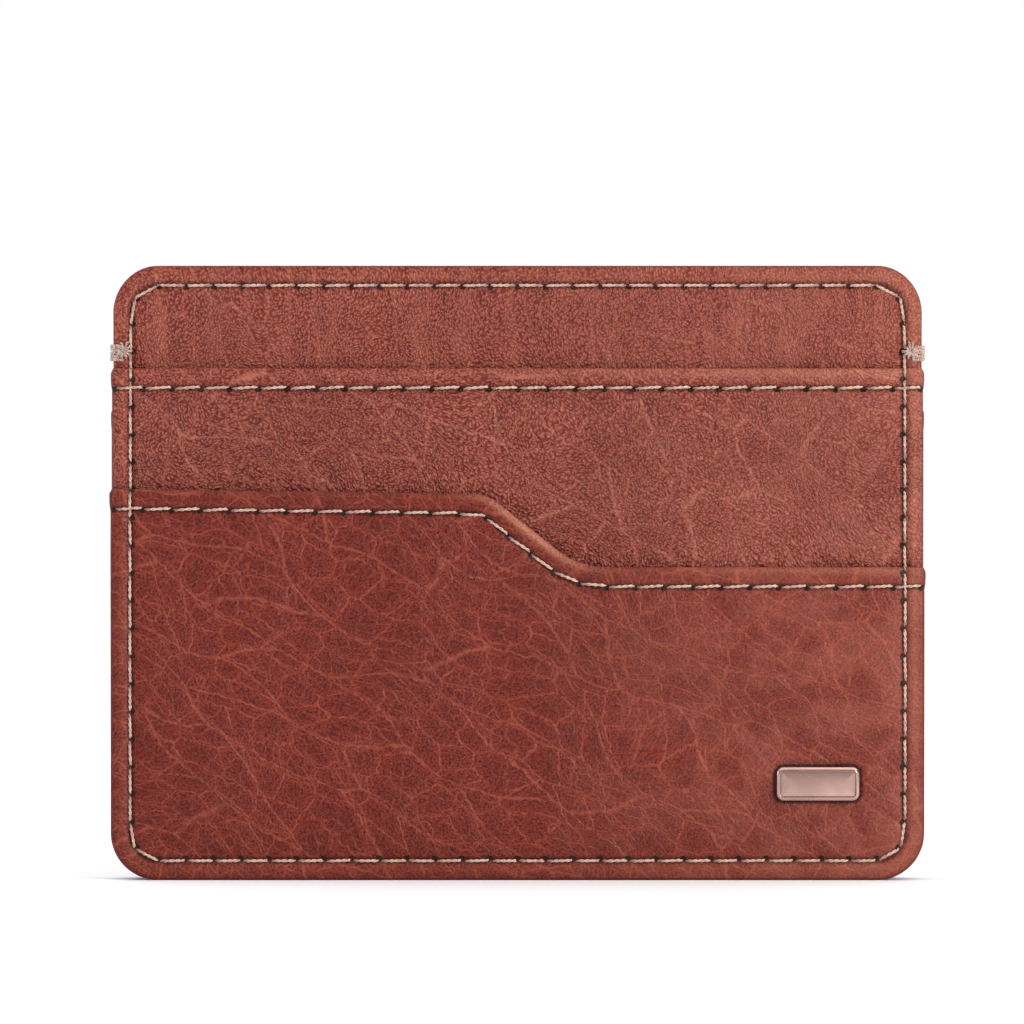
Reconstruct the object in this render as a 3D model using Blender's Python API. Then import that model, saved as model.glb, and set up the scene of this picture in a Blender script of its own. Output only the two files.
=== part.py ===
"""A slim leather card wallet, standing upright: +Z up, its front faces -Y, +X to the right.

Two leather walls are sewn together round the sides and the bottom.  Each wall is a stack: an outer
panel with a board and a lining behind it, and card pockets laid over its outside.  The front has a
straight upper pocket and a lower pocket with a waved top edge and a metal badge.  Above the two
tacks the walls are free, and their lips flex apart to open the bill compartment between them.

All dimensions below are in millimetres.
"""
import math

import bmesh
import bpy
from mathutils import Matrix, Vector

MM = 0.001

# Overall size, and how far each layer's outline lies inside the widest one
WIDTH = 100.0
HEIGHT = 75.5
CORNER_RADIUS = 5.8
CORNER_STEPS = 8
POCKET_INSET = 0.15
PANEL_INSET = 0.3

# Layer thicknesses and the gaps between them
LEATHER = 0.5
LINING = 0.15
BOARD = 0.3
CARD_SLOT = 0.8
BILL_GAP = 0.6
CONTACT = 0.05
EDGE_ROUND = 0.3
SHARP_ANGLE = math.radians(35)

# Sewn edges: the turned leather round each pocket leaves this much clear for a card
SLOT_HALF_WIDTH = 45.0
SLOT_FLOOR = 5.0
SEAM_MARGIN = 2.4
SEAM_RADIUS = 3.7

# Hems along the pockets' top edges
HEM_RISE = 0.25
HEM_STITCH = 2.4
GROOVE_WIDTH = 0.5
GROOVE_DEPTH = 0.35
LINING_BELOW_HEM = 4.5
UPPER_HEM_Z = 62.9
BACK_HEM_Z = 58.0

# The lower pocket's waved top edge: a high left run, a shoulder, a slope, a hollow and a low right run
WAVE_EDGE_Z = 48.1
WAVE_LEFT_Z = 47.5
WAVE_RIGHT_Z = 38.5
WAVE_START_X = -5.5
WAVE_ANGLE = math.radians(38.4)
SHOULDER_RADIUS = 5.0
HOLLOW_RADIUS = 10.0
ARC_STEPS = 6

# The free lips above the tacks
FLEX_Z = 66.2
LIP_LINING_MARGIN = 1.1

# Threads and tacks
THREAD_RADIUS = 0.22
HEM_THREAD_WIDTH = 0.4
SEAM_STEPS = 5
STEP_CLEARANCE = 0.35
TACK_THICKNESS = 0.35
TACK_REACH = 2.4
LEFT_TACK_Z = (63.7, 65.9)
RIGHT_TACK_Z = (63.7, 65.7)

# The badge: a plate with two posts, held by a backing plate behind the leather
BADGE_CENTRE = (36.9, 11.9)
BADGE_SIZE = (10.2, 4.2)
BADGE_THICKNESS = 0.65
BADGE_CORNER = 0.9
BADGE_BEVEL = 0.35
POST_RADIUS = 0.4
POST_SIDES = 12
POST_SPACING = 6.0
BACKING_SIZE = (8.6, 2.8)

# Distances outwards from the plane where the two walls meet, the same on both walls
LINING_FACE = BILL_GAP / 2
LINING_BACK = LINING_FACE + LINING
BOARD_FACE = LINING_BACK + CONTACT
PANEL_FACE = BOARD_FACE + BOARD + CONTACT
PANEL_SKIN = PANEL_FACE + LEATHER
LIP_FACE = LINING_BACK + CONTACT
POCKET_BASE = PANEL_SKIN + CONTACT
POCKET_LINING = PANEL_SKIN + CARD_SLOT
POCKET_FACE = POCKET_LINING + LINING + CONTACT
POCKET_SKIN = POCKET_FACE + LEATHER
LOWER_BASE = POCKET_SKIN + CONTACT
LOWER_LINING = POCKET_SKIN + CARD_SLOT
LOWER_FACE = LOWER_LINING + LINING + CONTACT
LOWER_SKIN = LOWER_FACE + LEATHER
BADGE_BASE = LOWER_SKIN + CONTACT
BADGE_TOP = BADGE_BASE + BADGE_THICKNESS
THREAD_LIFT = CONTACT + THREAD_RADIUS

# The deepest points in front and behind put the middle of the whole stack on Y = 0
FRONT_REACH = max(BADGE_TOP, LOWER_SKIN + HEM_RISE + THREAD_LIFT + THREAD_RADIUS)
BACK_REACH = POCKET_SKIN + HEM_RISE + THREAD_LIFT + THREAD_RADIUS
PARTING_Y = (FRONT_REACH - BACK_REACH) / 2

FRONT = -1
BACK = 1
BEYOND = 10.0


def clear_scene():
    """Remove every object that is already in the scene."""
    for item in list(bpy.data.objects):
        bpy.data.objects.remove(item)


def material(name, colour, roughness, metallic=0.0):
    """A Principled BSDF material with one colour."""
    made = bpy.data.materials.new(name)
    made.use_nodes = True
    shader = made.node_tree.nodes["Principled BSDF"]
    shader.inputs["Base Color"].default_value = (*colour, 1.0)
    shader.inputs["Roughness"].default_value = roughness
    shader.inputs["Metallic"].default_value = metallic
    made.diffuse_color = (*colour, 1.0)
    return made


def depth(side, distance):
    """The Y of a plane at this distance outwards on the front or the back wall."""
    return PARTING_Y + side * distance


# Outlines, as (x, z) points


def rounded_box(x0, z0, x1, z1, radius, steps=CORNER_STEPS):
    """A rectangle with round corners, anticlockwise from its lower right corner."""
    corners = (
        (x1 - radius, z0 + radius, -90),
        (x1 - radius, z1 - radius, 0),
        (x0 + radius, z1 - radius, 90),
        (x0 + radius, z0 + radius, 180),
    )
    points = []
    for cx, cz, first in corners:
        for i in range(steps + 1):
            angle = math.radians(first + 90 * i / steps)
            points.append((cx + radius * math.cos(angle), cz + radius * math.sin(angle)))
    return points


def straight_hem(level, offset=0.0):
    """A straight top edge, moved down by offset."""
    half = WIDTH / 2
    return [(-half, level - offset), (half, level - offset)]


def waved_hem(offset=0.0):
    """The lower pocket's top edge, moved down square to itself by offset."""
    rise = 1 - math.cos(WAVE_ANGLE)
    slope_drop = WAVE_LEFT_Z - WAVE_RIGHT_Z - (SHOULDER_RADIUS + HOLLOW_RADIUS) * rise
    slope_run = slope_drop / math.tan(WAVE_ANGLE)
    hollow_x = WAVE_START_X + (SHOULDER_RADIUS + HOLLOW_RADIUS) * math.sin(WAVE_ANGLE) + slope_run
    half = WIDTH / 2
    points = [(-half, WAVE_EDGE_Z - offset)]
    for i in range(ARC_STEPS + 1):
        angle = WAVE_ANGLE * i / ARC_STEPS
        radius = SHOULDER_RADIUS - offset
        x = WAVE_START_X + radius * math.sin(angle)
        z = WAVE_LEFT_Z - SHOULDER_RADIUS + radius * math.cos(angle)
        points.append((x, z))
    for i in range(ARC_STEPS + 1):
        angle = WAVE_ANGLE * (1 - i / ARC_STEPS)
        radius = HOLLOW_RADIUS + offset
        x = hollow_x - radius * math.sin(angle)
        z = WAVE_RIGHT_Z + HOLLOW_RADIUS - radius * math.cos(angle)
        points.append((x, z))
    points.append((half, WAVE_RIGHT_Z - offset))
    return points


def moved_end(end, inner, x):
    """The point at x on the straight line through a path's end and its next point."""
    slope = (end[1] - inner[1]) / (end[0] - inner[0])
    return (x, end[1] + slope * (x - end[0]))


def cropped(path, half_width):
    """A left-to-right path cut or carried on straight to x = -half_width and x = half_width."""
    left = moved_end(path[0], path[1], -half_width)
    right = moved_end(path[-1], path[-2], half_width)
    return [left, *path[1:-1], right]


def between(upper, lower):
    """The closed strip between two left-to-right paths."""
    return [*lower, *reversed(upper)]


def above(path):
    """The closed region above a left-to-right path, out past the wallet on every side."""
    wide = cropped(path, WIDTH / 2 + BEYOND)
    top = HEIGHT + BEYOND
    return [*wide, (wide[-1][0], top), (wide[0][0], top)]


def below_and_within(path, half_width, floor):
    """The closed region below a path, between two sides and above a floor."""
    return [(-half_width, floor), (half_width, floor), *reversed(cropped(path, half_width))]


# Solids


def solid(name, rings, finish):
    """A closed body through matching rings of (x, z) points, each at its own Y, capped at both ends."""
    shape = bmesh.new()
    loops = []
    for points, y in rings:
        loops.append([shape.verts.new((x * MM, y * MM, z * MM)) for x, z in points])
    for first, second in zip(loops, loops[1:]):
        for i in range(len(first)):
            j = (i + 1) % len(first)
            shape.faces.new((first[i], first[j], second[j], second[i]))
    shape.faces.new(loops[0])
    shape.faces.new(loops[-1])
    bmesh.ops.recalc_face_normals(shape, faces=shape.faces)
    mesh = bpy.data.meshes.new(name)
    shape.to_mesh(mesh)
    shape.free()
    mesh.materials.append(finish)
    mesh.shade_smooth()
    mesh.set_sharp_from_angle(angle=SHARP_ANGLE)
    made = bpy.data.objects.new(name, mesh)
    bpy.context.scene.collection.objects.link(made)
    return made


def plate(name, outline, side, inner, outer, finish):
    """A flat plate between two distances from the parting plane."""
    return solid(name, [(outline, depth(side, inner)), (outline, depth(side, outer))], finish)


def soft_slab(name, outline_at, side, inner, outer, finish):
    """A leather slab whose outer rim is rounded; outline_at(inset) gives its outline."""
    rings = [(outline_at(0.0), depth(side, inner))]
    for i in range(3):
        angle = math.pi / 2 * i / 2
        inset = EDGE_ROUND * (1 - math.cos(angle))
        rings.append((outline_at(inset), depth(side, outer - EDGE_ROUND * (1 - math.sin(angle)))))
    return solid(name, rings, finish)


def combine(target, tool, operation):
    """Join the tool to the target, or cut it out, and remove the tool."""
    step = target.modifiers.new("step", "BOOLEAN")
    step.operation = operation
    step.solver = "EXACT"
    step.object = tool
    view = bpy.context.evaluated_depsgraph_get()
    mesh = bpy.data.meshes.new_from_object(target.evaluated_get(view))
    target.modifiers.clear()
    target.data = mesh
    bpy.data.objects.remove(tool)


def cut(target, outline, side, inner, outer):
    """Cut a prism of this outline out of the target."""
    tool = plate("tool", outline, side, inner, outer, target.data.materials[0])
    combine(target, tool, "DIFFERENCE")


def cylinder(name, x, z, radius, side, inner, outer, finish):
    """A round bar along Y."""
    ring = []
    for i in range(POST_SIDES):
        angle = 2 * math.pi * i / POST_SIDES
        ring.append((x + radius * math.cos(angle), z + radius * math.sin(angle)))
    return solid(name, [(ring, depth(side, inner)), (ring, depth(side, outer))], finish)


def tube(name, points, radius, finish):
    """A round thread through (x, y, z) points, with flat ends."""
    curve = bpy.data.curves.new(name, "CURVE")
    curve.dimensions = "3D"
    curve.bevel_depth = radius * MM
    curve.bevel_resolution = 1
    curve.use_fill_caps = True
    spline = curve.splines.new("POLY")
    spline.points.add(len(points) - 1)
    for place, (x, y, z) in zip(spline.points, points):
        place.co = (x * MM, y * MM, z * MM, 1.0)
    curve.materials.append(finish)
    made = bpy.data.objects.new(name, curve)
    bpy.context.scene.collection.objects.link(made)
    return made


# Sub-parts


def panel_outline(inset):
    """An outer panel's outline, rounded by inset at its rim."""
    half = WIDTH / 2 - PANEL_INSET - inset
    base = PANEL_INSET + inset
    return rounded_box(-half, base, half, HEIGHT - inset, CORNER_RADIUS - inset)


def make_panel(wall, side, leather):
    """A wall's outer panel below the flex line, with its turned edges reaching the other wall."""
    made = soft_slab(wall + "_panel", panel_outline, side, CONTACT / 2, PANEL_SKIN, leather)
    cut(made, above(straight_hem(FLEX_Z - CONTACT)), side, -BEYOND, BEYOND)
    room = below_and_within(straight_hem(HEIGHT + BEYOND), SLOT_HALF_WIDTH, SLOT_FLOOR)
    cut(made, room, side, -BEYOND, PANEL_FACE)
    return made


def make_lip(wall, side, leather):
    """The free lip above the flex line, two thicknesses of leather turned over the top edge."""
    made = soft_slab(wall + "_panel_lip", panel_outline, side, LIP_FACE, PANEL_SKIN, leather)
    half = WIDTH / 2 + BEYOND
    lower = [(-half, -BEYOND), (half, -BEYOND), (half, FLEX_Z + CONTACT), (-half, FLEX_Z + CONTACT)]
    cut(made, lower, side, -BEYOND, BEYOND)
    return made


def make_wall_inside(wall, side, finishes):
    """The board behind the panel, the lining over it, and the lining of the lip."""
    half = SLOT_HALF_WIDTH - CONTACT
    base = SLOT_FLOOR + CONTACT
    inside = below_and_within(straight_hem(FLEX_Z - CONTACT), half, base)
    plate(wall + "_board", inside, side, BOARD_FACE, BOARD_FACE + BOARD, finishes["board"])
    plate(wall + "_lining", inside, side, LINING_FACE, LINING_BACK, finishes["lining"])
    lip_top = straight_hem(HEIGHT - LIP_LINING_MARGIN)
    lip_half = WIDTH / 2 - PANEL_INSET - CORNER_RADIUS
    lip_inside = below_and_within(lip_top, lip_half, FLEX_Z + CONTACT)
    return plate(wall + "_lip_lining", lip_inside, side, LINING_FACE, LINING_BACK, finishes["lining"])


def pocket_outline(inset):
    """The outline of a pocket laid straight over a panel."""
    half = WIDTH / 2 - POCKET_INSET - inset
    base = POCKET_INSET + inset
    return rounded_box(-half, base, half, HEIGHT, CORNER_RADIUS - inset)


def lower_outline(inset):
    """The lower pocket's outline, which is the widest."""
    half = WIDTH / 2 - inset
    return rounded_box(-half, inset, half, HEIGHT, CORNER_RADIUS - inset)


def make_pocket(name, outline_at, hem, side, layers, finishes):
    """A pocket: a sheet with turned edges that stand on the layer below, and a raised, sewn hem."""
    base, face, skin = layers
    made = soft_slab(name, outline_at, side, base, skin, finishes["leather"])
    room = below_and_within(straight_hem(HEIGHT + BEYOND), SLOT_HALF_WIDTH, SLOT_FLOOR)
    cut(made, room, side, -BEYOND, face)
    half = WIDTH / 2 - EDGE_ROUND - POCKET_INSET
    raised_top = cropped([(x, z + BEYOND) for x, z in hem(0.0)], half)
    raised = between(raised_top, cropped(hem(HEM_STITCH - GROOVE_WIDTH / 2), half))
    band = plate("tool", raised, side, skin - LEATHER / 2, skin + HEM_RISE, finishes["leather"])
    combine(made, band, "UNION")
    wide = WIDTH / 2 + BEYOND
    groove_top = cropped(hem(HEM_STITCH - GROOVE_WIDTH / 2), wide)
    groove = between(groove_top, cropped(hem(HEM_STITCH + GROOVE_WIDTH / 2), wide))
    cut(made, groove, side, skin - GROOVE_DEPTH, BEYOND)
    cut(made, above(hem(0.0)), side, -BEYOND, BEYOND)
    return made


def make_pocket_lining(name, hem, side, inner, finish):
    """The lining behind a pocket's sheet, from the slot's floor to just under the hem."""
    half = SLOT_HALF_WIDTH - CONTACT
    shape = below_and_within(hem(LINING_BELOW_HEM), half, SLOT_FLOOR + CONTACT)
    return plate(name, shape, side, inner, inner + LINING, finish)


def make_hem_thread(name, hem, side, skin, finish):
    """The thread lying in a hem's stitch groove, from edge to edge."""
    half = WIDTH / 2 - EDGE_ROUND - POCKET_INSET
    top = cropped(hem(HEM_STITCH - HEM_THREAD_WIDTH / 2), half)
    strip = between(top, cropped(hem(HEM_STITCH + HEM_THREAD_WIDTH / 2), half))
    inner = skin - GROOVE_DEPTH + CONTACT
    return plate(name, strip, side, inner, skin, finish)


def hem_crossing(x, side, hem_z, low_skin, high_skin):
    """Points that take a side seam up from a pocket's face, over its hem and down beyond its edge."""
    below_groove = hem_z - HEM_STITCH - GROOVE_WIDTH / 2 - STEP_CLEARANCE
    edge = hem_z + STEP_CLEARANCE
    hem_skin = high_skin + HEM_RISE
    return [
        (x, depth(side, high_skin + THREAD_LIFT), below_groove),
        (x, depth(side, hem_skin + THREAD_LIFT), below_groove + STEP_CLEARANCE),
        (x, depth(side, hem_skin + THREAD_LIFT), edge),
        (x, depth(side, low_skin + THREAD_LIFT), edge),
    ]


def seam_corner(centre_x, centre_z, first_angle, y):
    """A quarter turn of the perimeter seam, anticlockwise from first_angle in degrees."""
    points = []
    for i in range(SEAM_STEPS + 1):
        angle = math.radians(first_angle + 90 * i / SEAM_STEPS)
        x = centre_x + SEAM_RADIUS * math.cos(angle)
        z = centre_z + SEAM_RADIUS * math.sin(angle)
        points.append((x, y, z))
    return points


def make_wall_seam(name, side, hems, finish):
    """The seam down one side, along the bottom and up the other, over each pocket that it sews.

    hems lists (left hem z, right hem z, the skin below the pocket, the pocket's own skin) from the
    outermost pocket in.
    """
    x = WIDTH / 2 - SEAM_MARGIN
    z = SEAM_MARGIN
    outermost = depth(side, hems[0][3] + THREAD_LIFT)
    left = []
    right = []
    for left_z, right_z, low_skin, high_skin in hems:
        left += hem_crossing(-x, side, left_z, low_skin, high_skin)
        right += hem_crossing(x, side, right_z, low_skin, high_skin)
    path = list(reversed(left))
    path += seam_corner(-x + SEAM_RADIUS, z + SEAM_RADIUS, 180, outermost)
    path += seam_corner(x - SEAM_RADIUS, z + SEAM_RADIUS, 270, outermost)
    path += right
    return tube(name, path, THREAD_RADIUS, finish)


def make_lip_seam(name, side, finish):
    """The seam up one side of a lip, along its top edge and down the other side."""
    x = WIDTH / 2 - SEAM_MARGIN
    z = HEIGHT - SEAM_MARGIN
    y = depth(side, PANEL_SKIN + THREAD_LIFT)
    foot = FLEX_Z + STEP_CLEARANCE
    path = [(x, y, foot)]
    path += seam_corner(x - SEAM_RADIUS, z - SEAM_RADIUS, 0, y)
    path += seam_corner(-x + SEAM_RADIUS, z - SEAM_RADIUS, 90, y)
    path.append((-x, y, foot))
    return tube(name, path, THREAD_RADIUS, finish)


def make_tack(name, hand, levels, finish):
    """A tack of thread wrapped round both walls at one side edge; hand is -1 left, +1 right."""
    edge = WIDTH / 2 - PANEL_INSET + CONTACT
    inner_x = hand * (edge - TACK_REACH)
    outer_x = hand * (edge + TACK_THICKNESS)
    low, high = levels
    box = [(inner_x, low), (outer_x, low), (outer_x, high), (inner_x, high)]
    reach = PANEL_SKIN + CONTACT + TACK_THICKNESS
    made = plate(name, box, BACK, -reach, reach, finish)
    room = [(-edge, low - BEYOND), (edge, low - BEYOND), (edge, high + BEYOND), (-edge, high + BEYOND)]
    cut(made, room, BACK, -PANEL_SKIN - CONTACT, PANEL_SKIN + CONTACT)
    return made


def post_places():
    """The (x, z) of the badge's two posts."""
    x, z = BADGE_CENTRE
    return [(x - POST_SPACING / 2, z), (x + POST_SPACING / 2, z)]


def centred_box(size, radius, grow=0.0):
    """A rectangle with round corners round the badge's centre."""
    x, z = BADGE_CENTRE
    half_x = size[0] / 2 + grow
    half_z = size[1] / 2 + grow
    return rounded_box(x - half_x, z - half_z, x + half_x, z + half_z, radius + grow, 3)


def make_badge(finishes):
    """The badge's plate, with a bevelled rim and two posts that go through the leather."""
    inner = centred_box(BADGE_SIZE, BADGE_CORNER, -BADGE_BEVEL)
    outer = centred_box(BADGE_SIZE, BADGE_CORNER)
    shoulder = BADGE_TOP - BADGE_BEVEL
    rings = [
        (outer, depth(FRONT, BADGE_BASE)),
        (outer, depth(FRONT, shoulder)),
        (inner, depth(FRONT, BADGE_TOP)),
    ]
    made = solid("badge_plate", rings, finishes["badge"])
    for x, z in post_places():
        post = cylinder("tool", x, z, POST_RADIUS, FRONT, LOWER_LINING, shoulder, finishes["badge"])
        combine(made, post, "UNION")
    backing = plate(
        "badge_backing",
        centred_box(BACKING_SIZE, BADGE_CORNER / 2),
        FRONT,
        LOWER_LINING,
        LOWER_LINING + LINING,
        finishes["steel"],
    )
    drill_for_posts(backing)
    return made


def drill_for_posts(target):
    """Cut the two holes that the badge's posts pass through."""
    for x, z in post_places():
        radius = POST_RADIUS + CONTACT
        drill = cylinder("tool", x, z, radius, FRONT, -BEYOND, BEYOND, target.data.materials[0])
        combine(target, drill, "DIFFERENCE")


def hang_on_hinge(name, side, pieces):
    """Put pieces on an empty that stands on the flex line, at the outer face of the wall."""
    hinge = bpy.data.objects.new(name, None)
    hinge.location = Vector((0.0, depth(side, PANEL_SKIN), FLEX_Z)) * MM
    hinge.empty_display_size = 5 * MM
    bpy.context.scene.collection.objects.link(hinge)
    for piece in pieces:
        piece.parent = hinge
        piece.matrix_parent_inverse = Matrix.Translation(-hinge.location)


def make_wall(wall, side, seam_hems, finishes):
    """One wall without its pockets."""
    make_panel(wall, side, finishes["leather"])
    lip = make_lip(wall, side, finishes["leather"])
    lip_lining = make_wall_inside(wall, side, finishes)
    make_wall_seam(wall + "_seam_thread", side, seam_hems, finishes["thread"])
    lip_thread = make_lip_seam(wall + "_lip_thread", side, finishes["thread"])
    hang_on_hinge(wall + "_lip_hinge", side, [lip, lip_lining, lip_thread])


def upper_hem(offset):
    """The front upper pocket's top edge."""
    return straight_hem(UPPER_HEM_Z, offset)


def back_hem(offset):
    """The back pocket's top edge."""
    return straight_hem(BACK_HEM_Z, offset)


def main():
    clear_scene()
    finishes = {
        "leather": material("red_brown_leather", (0.24, 0.062, 0.042), 0.55),
        "lining": material("brown_lining", (0.09, 0.035, 0.025), 0.85),
        "board": material("grey_board", (0.30, 0.27, 0.24), 0.9),
        "thread": material("cream_thread", (0.72, 0.58, 0.50), 0.6),
        "tack": material("taupe_thread", (0.33, 0.22, 0.19), 0.65),
        "badge": material("rose_gold", (0.62, 0.42, 0.36), 0.25, 1.0),
        "steel": material("backing_steel", (0.50, 0.50, 0.50), 0.4, 1.0),
    }
    lower_layers = (LOWER_BASE, LOWER_FACE, LOWER_SKIN)
    pocket_layers = (POCKET_BASE, POCKET_FACE, POCKET_SKIN)

    upper_crossing = (UPPER_HEM_Z, UPPER_HEM_Z, PANEL_SKIN, POCKET_SKIN)
    lower_crossing = (WAVE_EDGE_Z, WAVE_RIGHT_Z, POCKET_SKIN, LOWER_SKIN)
    back_crossing = (BACK_HEM_Z, BACK_HEM_Z, PANEL_SKIN, POCKET_SKIN)
    make_wall("front", FRONT, [lower_crossing, upper_crossing], finishes)
    make_wall("back", BACK, [back_crossing], finishes)

    make_pocket("upper_pocket", pocket_outline, upper_hem, FRONT, pocket_layers, finishes)
    make_pocket_lining("upper_pocket_lining", upper_hem, FRONT, POCKET_LINING, finishes["lining"])
    make_hem_thread("upper_hem_thread", upper_hem, FRONT, POCKET_SKIN, finishes["thread"])

    lower = make_pocket("lower_pocket", lower_outline, waved_hem, FRONT, lower_layers, finishes)
    drill_for_posts(lower)
    lining = make_pocket_lining(
        "lower_pocket_lining", waved_hem, FRONT, LOWER_LINING, finishes["lining"]
    )
    window = centred_box(BACKING_SIZE, BADGE_CORNER / 2, CONTACT)
    cut(lining, window, FRONT, -BEYOND, BEYOND)
    make_hem_thread("lower_hem_thread", waved_hem, FRONT, LOWER_SKIN, finishes["thread"])

    make_pocket("back_pocket", lower_outline, back_hem, BACK, pocket_layers, finishes)
    make_pocket_lining("back_pocket_lining", back_hem, BACK, POCKET_LINING, finishes["lining"])
    make_hem_thread("back_hem_thread", back_hem, BACK, POCKET_SKIN, finishes["thread"])

    make_tack("left_tack", -1, LEFT_TACK_Z, finishes["tack"])
    make_tack("right_tack", 1, RIGHT_TACK_Z, finishes["tack"])
    make_badge(finishes)


main()
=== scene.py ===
"""The looks of a slim leather card wallet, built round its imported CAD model.

Each leather layer is a closed sheet: a grid that follows the wallet's outline and the pocket's hem,
shaped by a height function, with a rounded rim that turns back to the line where the walls meet.
Threads are laid stitch by stitch on the same height functions.  Lengths are in millimetres, and
become metres when a mesh is made.
"""
import math

import bpy
import numpy as np
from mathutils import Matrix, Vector


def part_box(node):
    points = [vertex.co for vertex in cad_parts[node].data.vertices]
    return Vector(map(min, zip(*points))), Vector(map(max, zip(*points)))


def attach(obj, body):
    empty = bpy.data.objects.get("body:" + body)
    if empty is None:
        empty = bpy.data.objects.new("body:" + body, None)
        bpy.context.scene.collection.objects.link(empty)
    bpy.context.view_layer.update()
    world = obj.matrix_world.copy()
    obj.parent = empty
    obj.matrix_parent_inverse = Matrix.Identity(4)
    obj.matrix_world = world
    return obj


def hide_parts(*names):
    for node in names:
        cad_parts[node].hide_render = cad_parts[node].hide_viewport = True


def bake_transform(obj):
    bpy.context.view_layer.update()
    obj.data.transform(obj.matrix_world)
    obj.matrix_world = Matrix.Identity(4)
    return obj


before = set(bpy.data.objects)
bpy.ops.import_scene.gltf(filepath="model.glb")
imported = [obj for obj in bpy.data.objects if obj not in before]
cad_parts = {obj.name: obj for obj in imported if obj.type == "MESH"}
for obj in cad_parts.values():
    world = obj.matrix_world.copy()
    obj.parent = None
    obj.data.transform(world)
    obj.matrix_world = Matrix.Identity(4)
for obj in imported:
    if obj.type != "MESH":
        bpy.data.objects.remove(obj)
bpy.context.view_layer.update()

MM = 0.001


def low(node):
    """The lowest corner of a CAD node's box, in millimetres."""
    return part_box(node)[0] / MM


def high(node):
    """The highest corner of a CAD node's box, in millimetres."""
    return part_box(node)[1] / MM


# The CAD's driving sizes, read from the boxes of its nodes
WIDTH = high("lower_pocket").x - low("lower_pocket").x
HEIGHT = high("front_panel_lip").z
HEM_RISE = 0.25
LEATHER = 0.5
CORNER = 5.8
SEAM_INSET = 2.4
HEM_INSET = 2.4
PARTING = (high("front_panel").y + low("back_panel").y) / 2
PANEL_Y = low("front_panel").y
UPPER_Y = low("upper_pocket").y + HEM_RISE
LOWER_Y = low("lower_pocket").y + HEM_RISE
BACK_PANEL_Y = high("back_panel").y
BACK_POCKET_Y = high("back_pocket").y - HEM_RISE
UPPER_HEM = high("upper_pocket").z
BACK_HEM = high("back_pocket").z
WAVE_EDGE = high("lower_pocket").z
FLEX_Z = low("front_panel_lip").z
LIP_BACK = high("front_panel_lip").y

# The lower pocket's waved edge
WAVE_LEFT = 47.5
WAVE_RIGHT = 38.5
WAVE_START = -5.5
WAVE_ANGLE = math.radians(38.4)
SHOULDER = 5.0
HOLLOW = 10.0

FRONT = -1
BACK = 1

# Rounded rims, the turned edges that stand on the layer below, and the gaps between layers
RIM = 0.55
HEM_RIM = 0.38
SLOT_INSET = 4.85
MEETING_GAP = 0.02
PAST_TOP = 50.0
NOT_NEAR = 50.0

# The grids' steps: the front's, the back's and that of leather hidden under a pocket
FINE_STEP = 0.42
BACK_STEP = 0.6
HIDDEN_STEP = 3.0
UPPER_HIDDEN_BELOW = 36.0
PANEL_HIDDEN_BELOW = 55.0

# How far below a stitch's line its holes lie
HOLE_OFFSET = 0.22
DRAG_SEED = 5

LINING_BELOW_HEM = 4.5
LINING_THICKNESS = 0.15
LINING_SPREAD = 1.0

# The badge and its two posts
BADGE_CORNER = 0.9
BADGE_THICKNESS = 0.65
POST_OFFSET = 3.0
POST_RADIUS = 0.4
POST_SIDES = 16


# Numbers and noise


def smooth(low_edge, high_edge, value):
    """0 below low_edge, 1 above high_edge, and an S-curve between them."""
    t = np.clip((value - low_edge) / (high_edge - low_edge), 0, 1)
    return t * t * (3 - 2 * t)


def bell(value, centre, width):
    """A bump of height 1 at the centre."""
    return np.exp(-(((value - centre) / width) ** 2))


def gradient_noise(x, z, size, seed):
    """Smooth noise from about -1 to 1, with features of the given size."""
    x = np.asarray(x, float) / size
    z = np.asarray(z, float) / size
    x0 = np.floor(x)
    z0 = np.floor(z)
    total = np.zeros(np.broadcast(x, z).shape)
    for i in (0, 1):
        for j in (0, 1):
            cell = np.sin((x0 + i) * 127.1 + (z0 + j) * 311.7 + seed * 74.7) * 43758.5453
            angle = 2 * np.pi * (cell - np.floor(cell))
            dx = x - x0 - i
            dz = z - z0 - j
            fade = (1 - smooth(0, 1, np.abs(dx))) * (1 - smooth(0, 1, np.abs(dz)))
            total += fade * (np.cos(angle) * dx + np.sin(angle) * dz)
    return total * 1.6


# Outlines


def box_inset(x, z, inset, open_top):
    """How far a point lies inside the wallet's outline, itself moved in by inset."""
    top = HEIGHT + (PAST_TOP if open_top else 0.0)
    qx = np.abs(x) - (WIDTH / 2 - inset - CORNER)
    qz = np.abs(z - (inset + top) / 2) - ((top - inset) / 2 - CORNER)
    outside = np.hypot(np.maximum(qx, 0), np.maximum(qz, 0))
    return CORNER - outside - np.minimum(np.maximum(qx, qz), 0)


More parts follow.
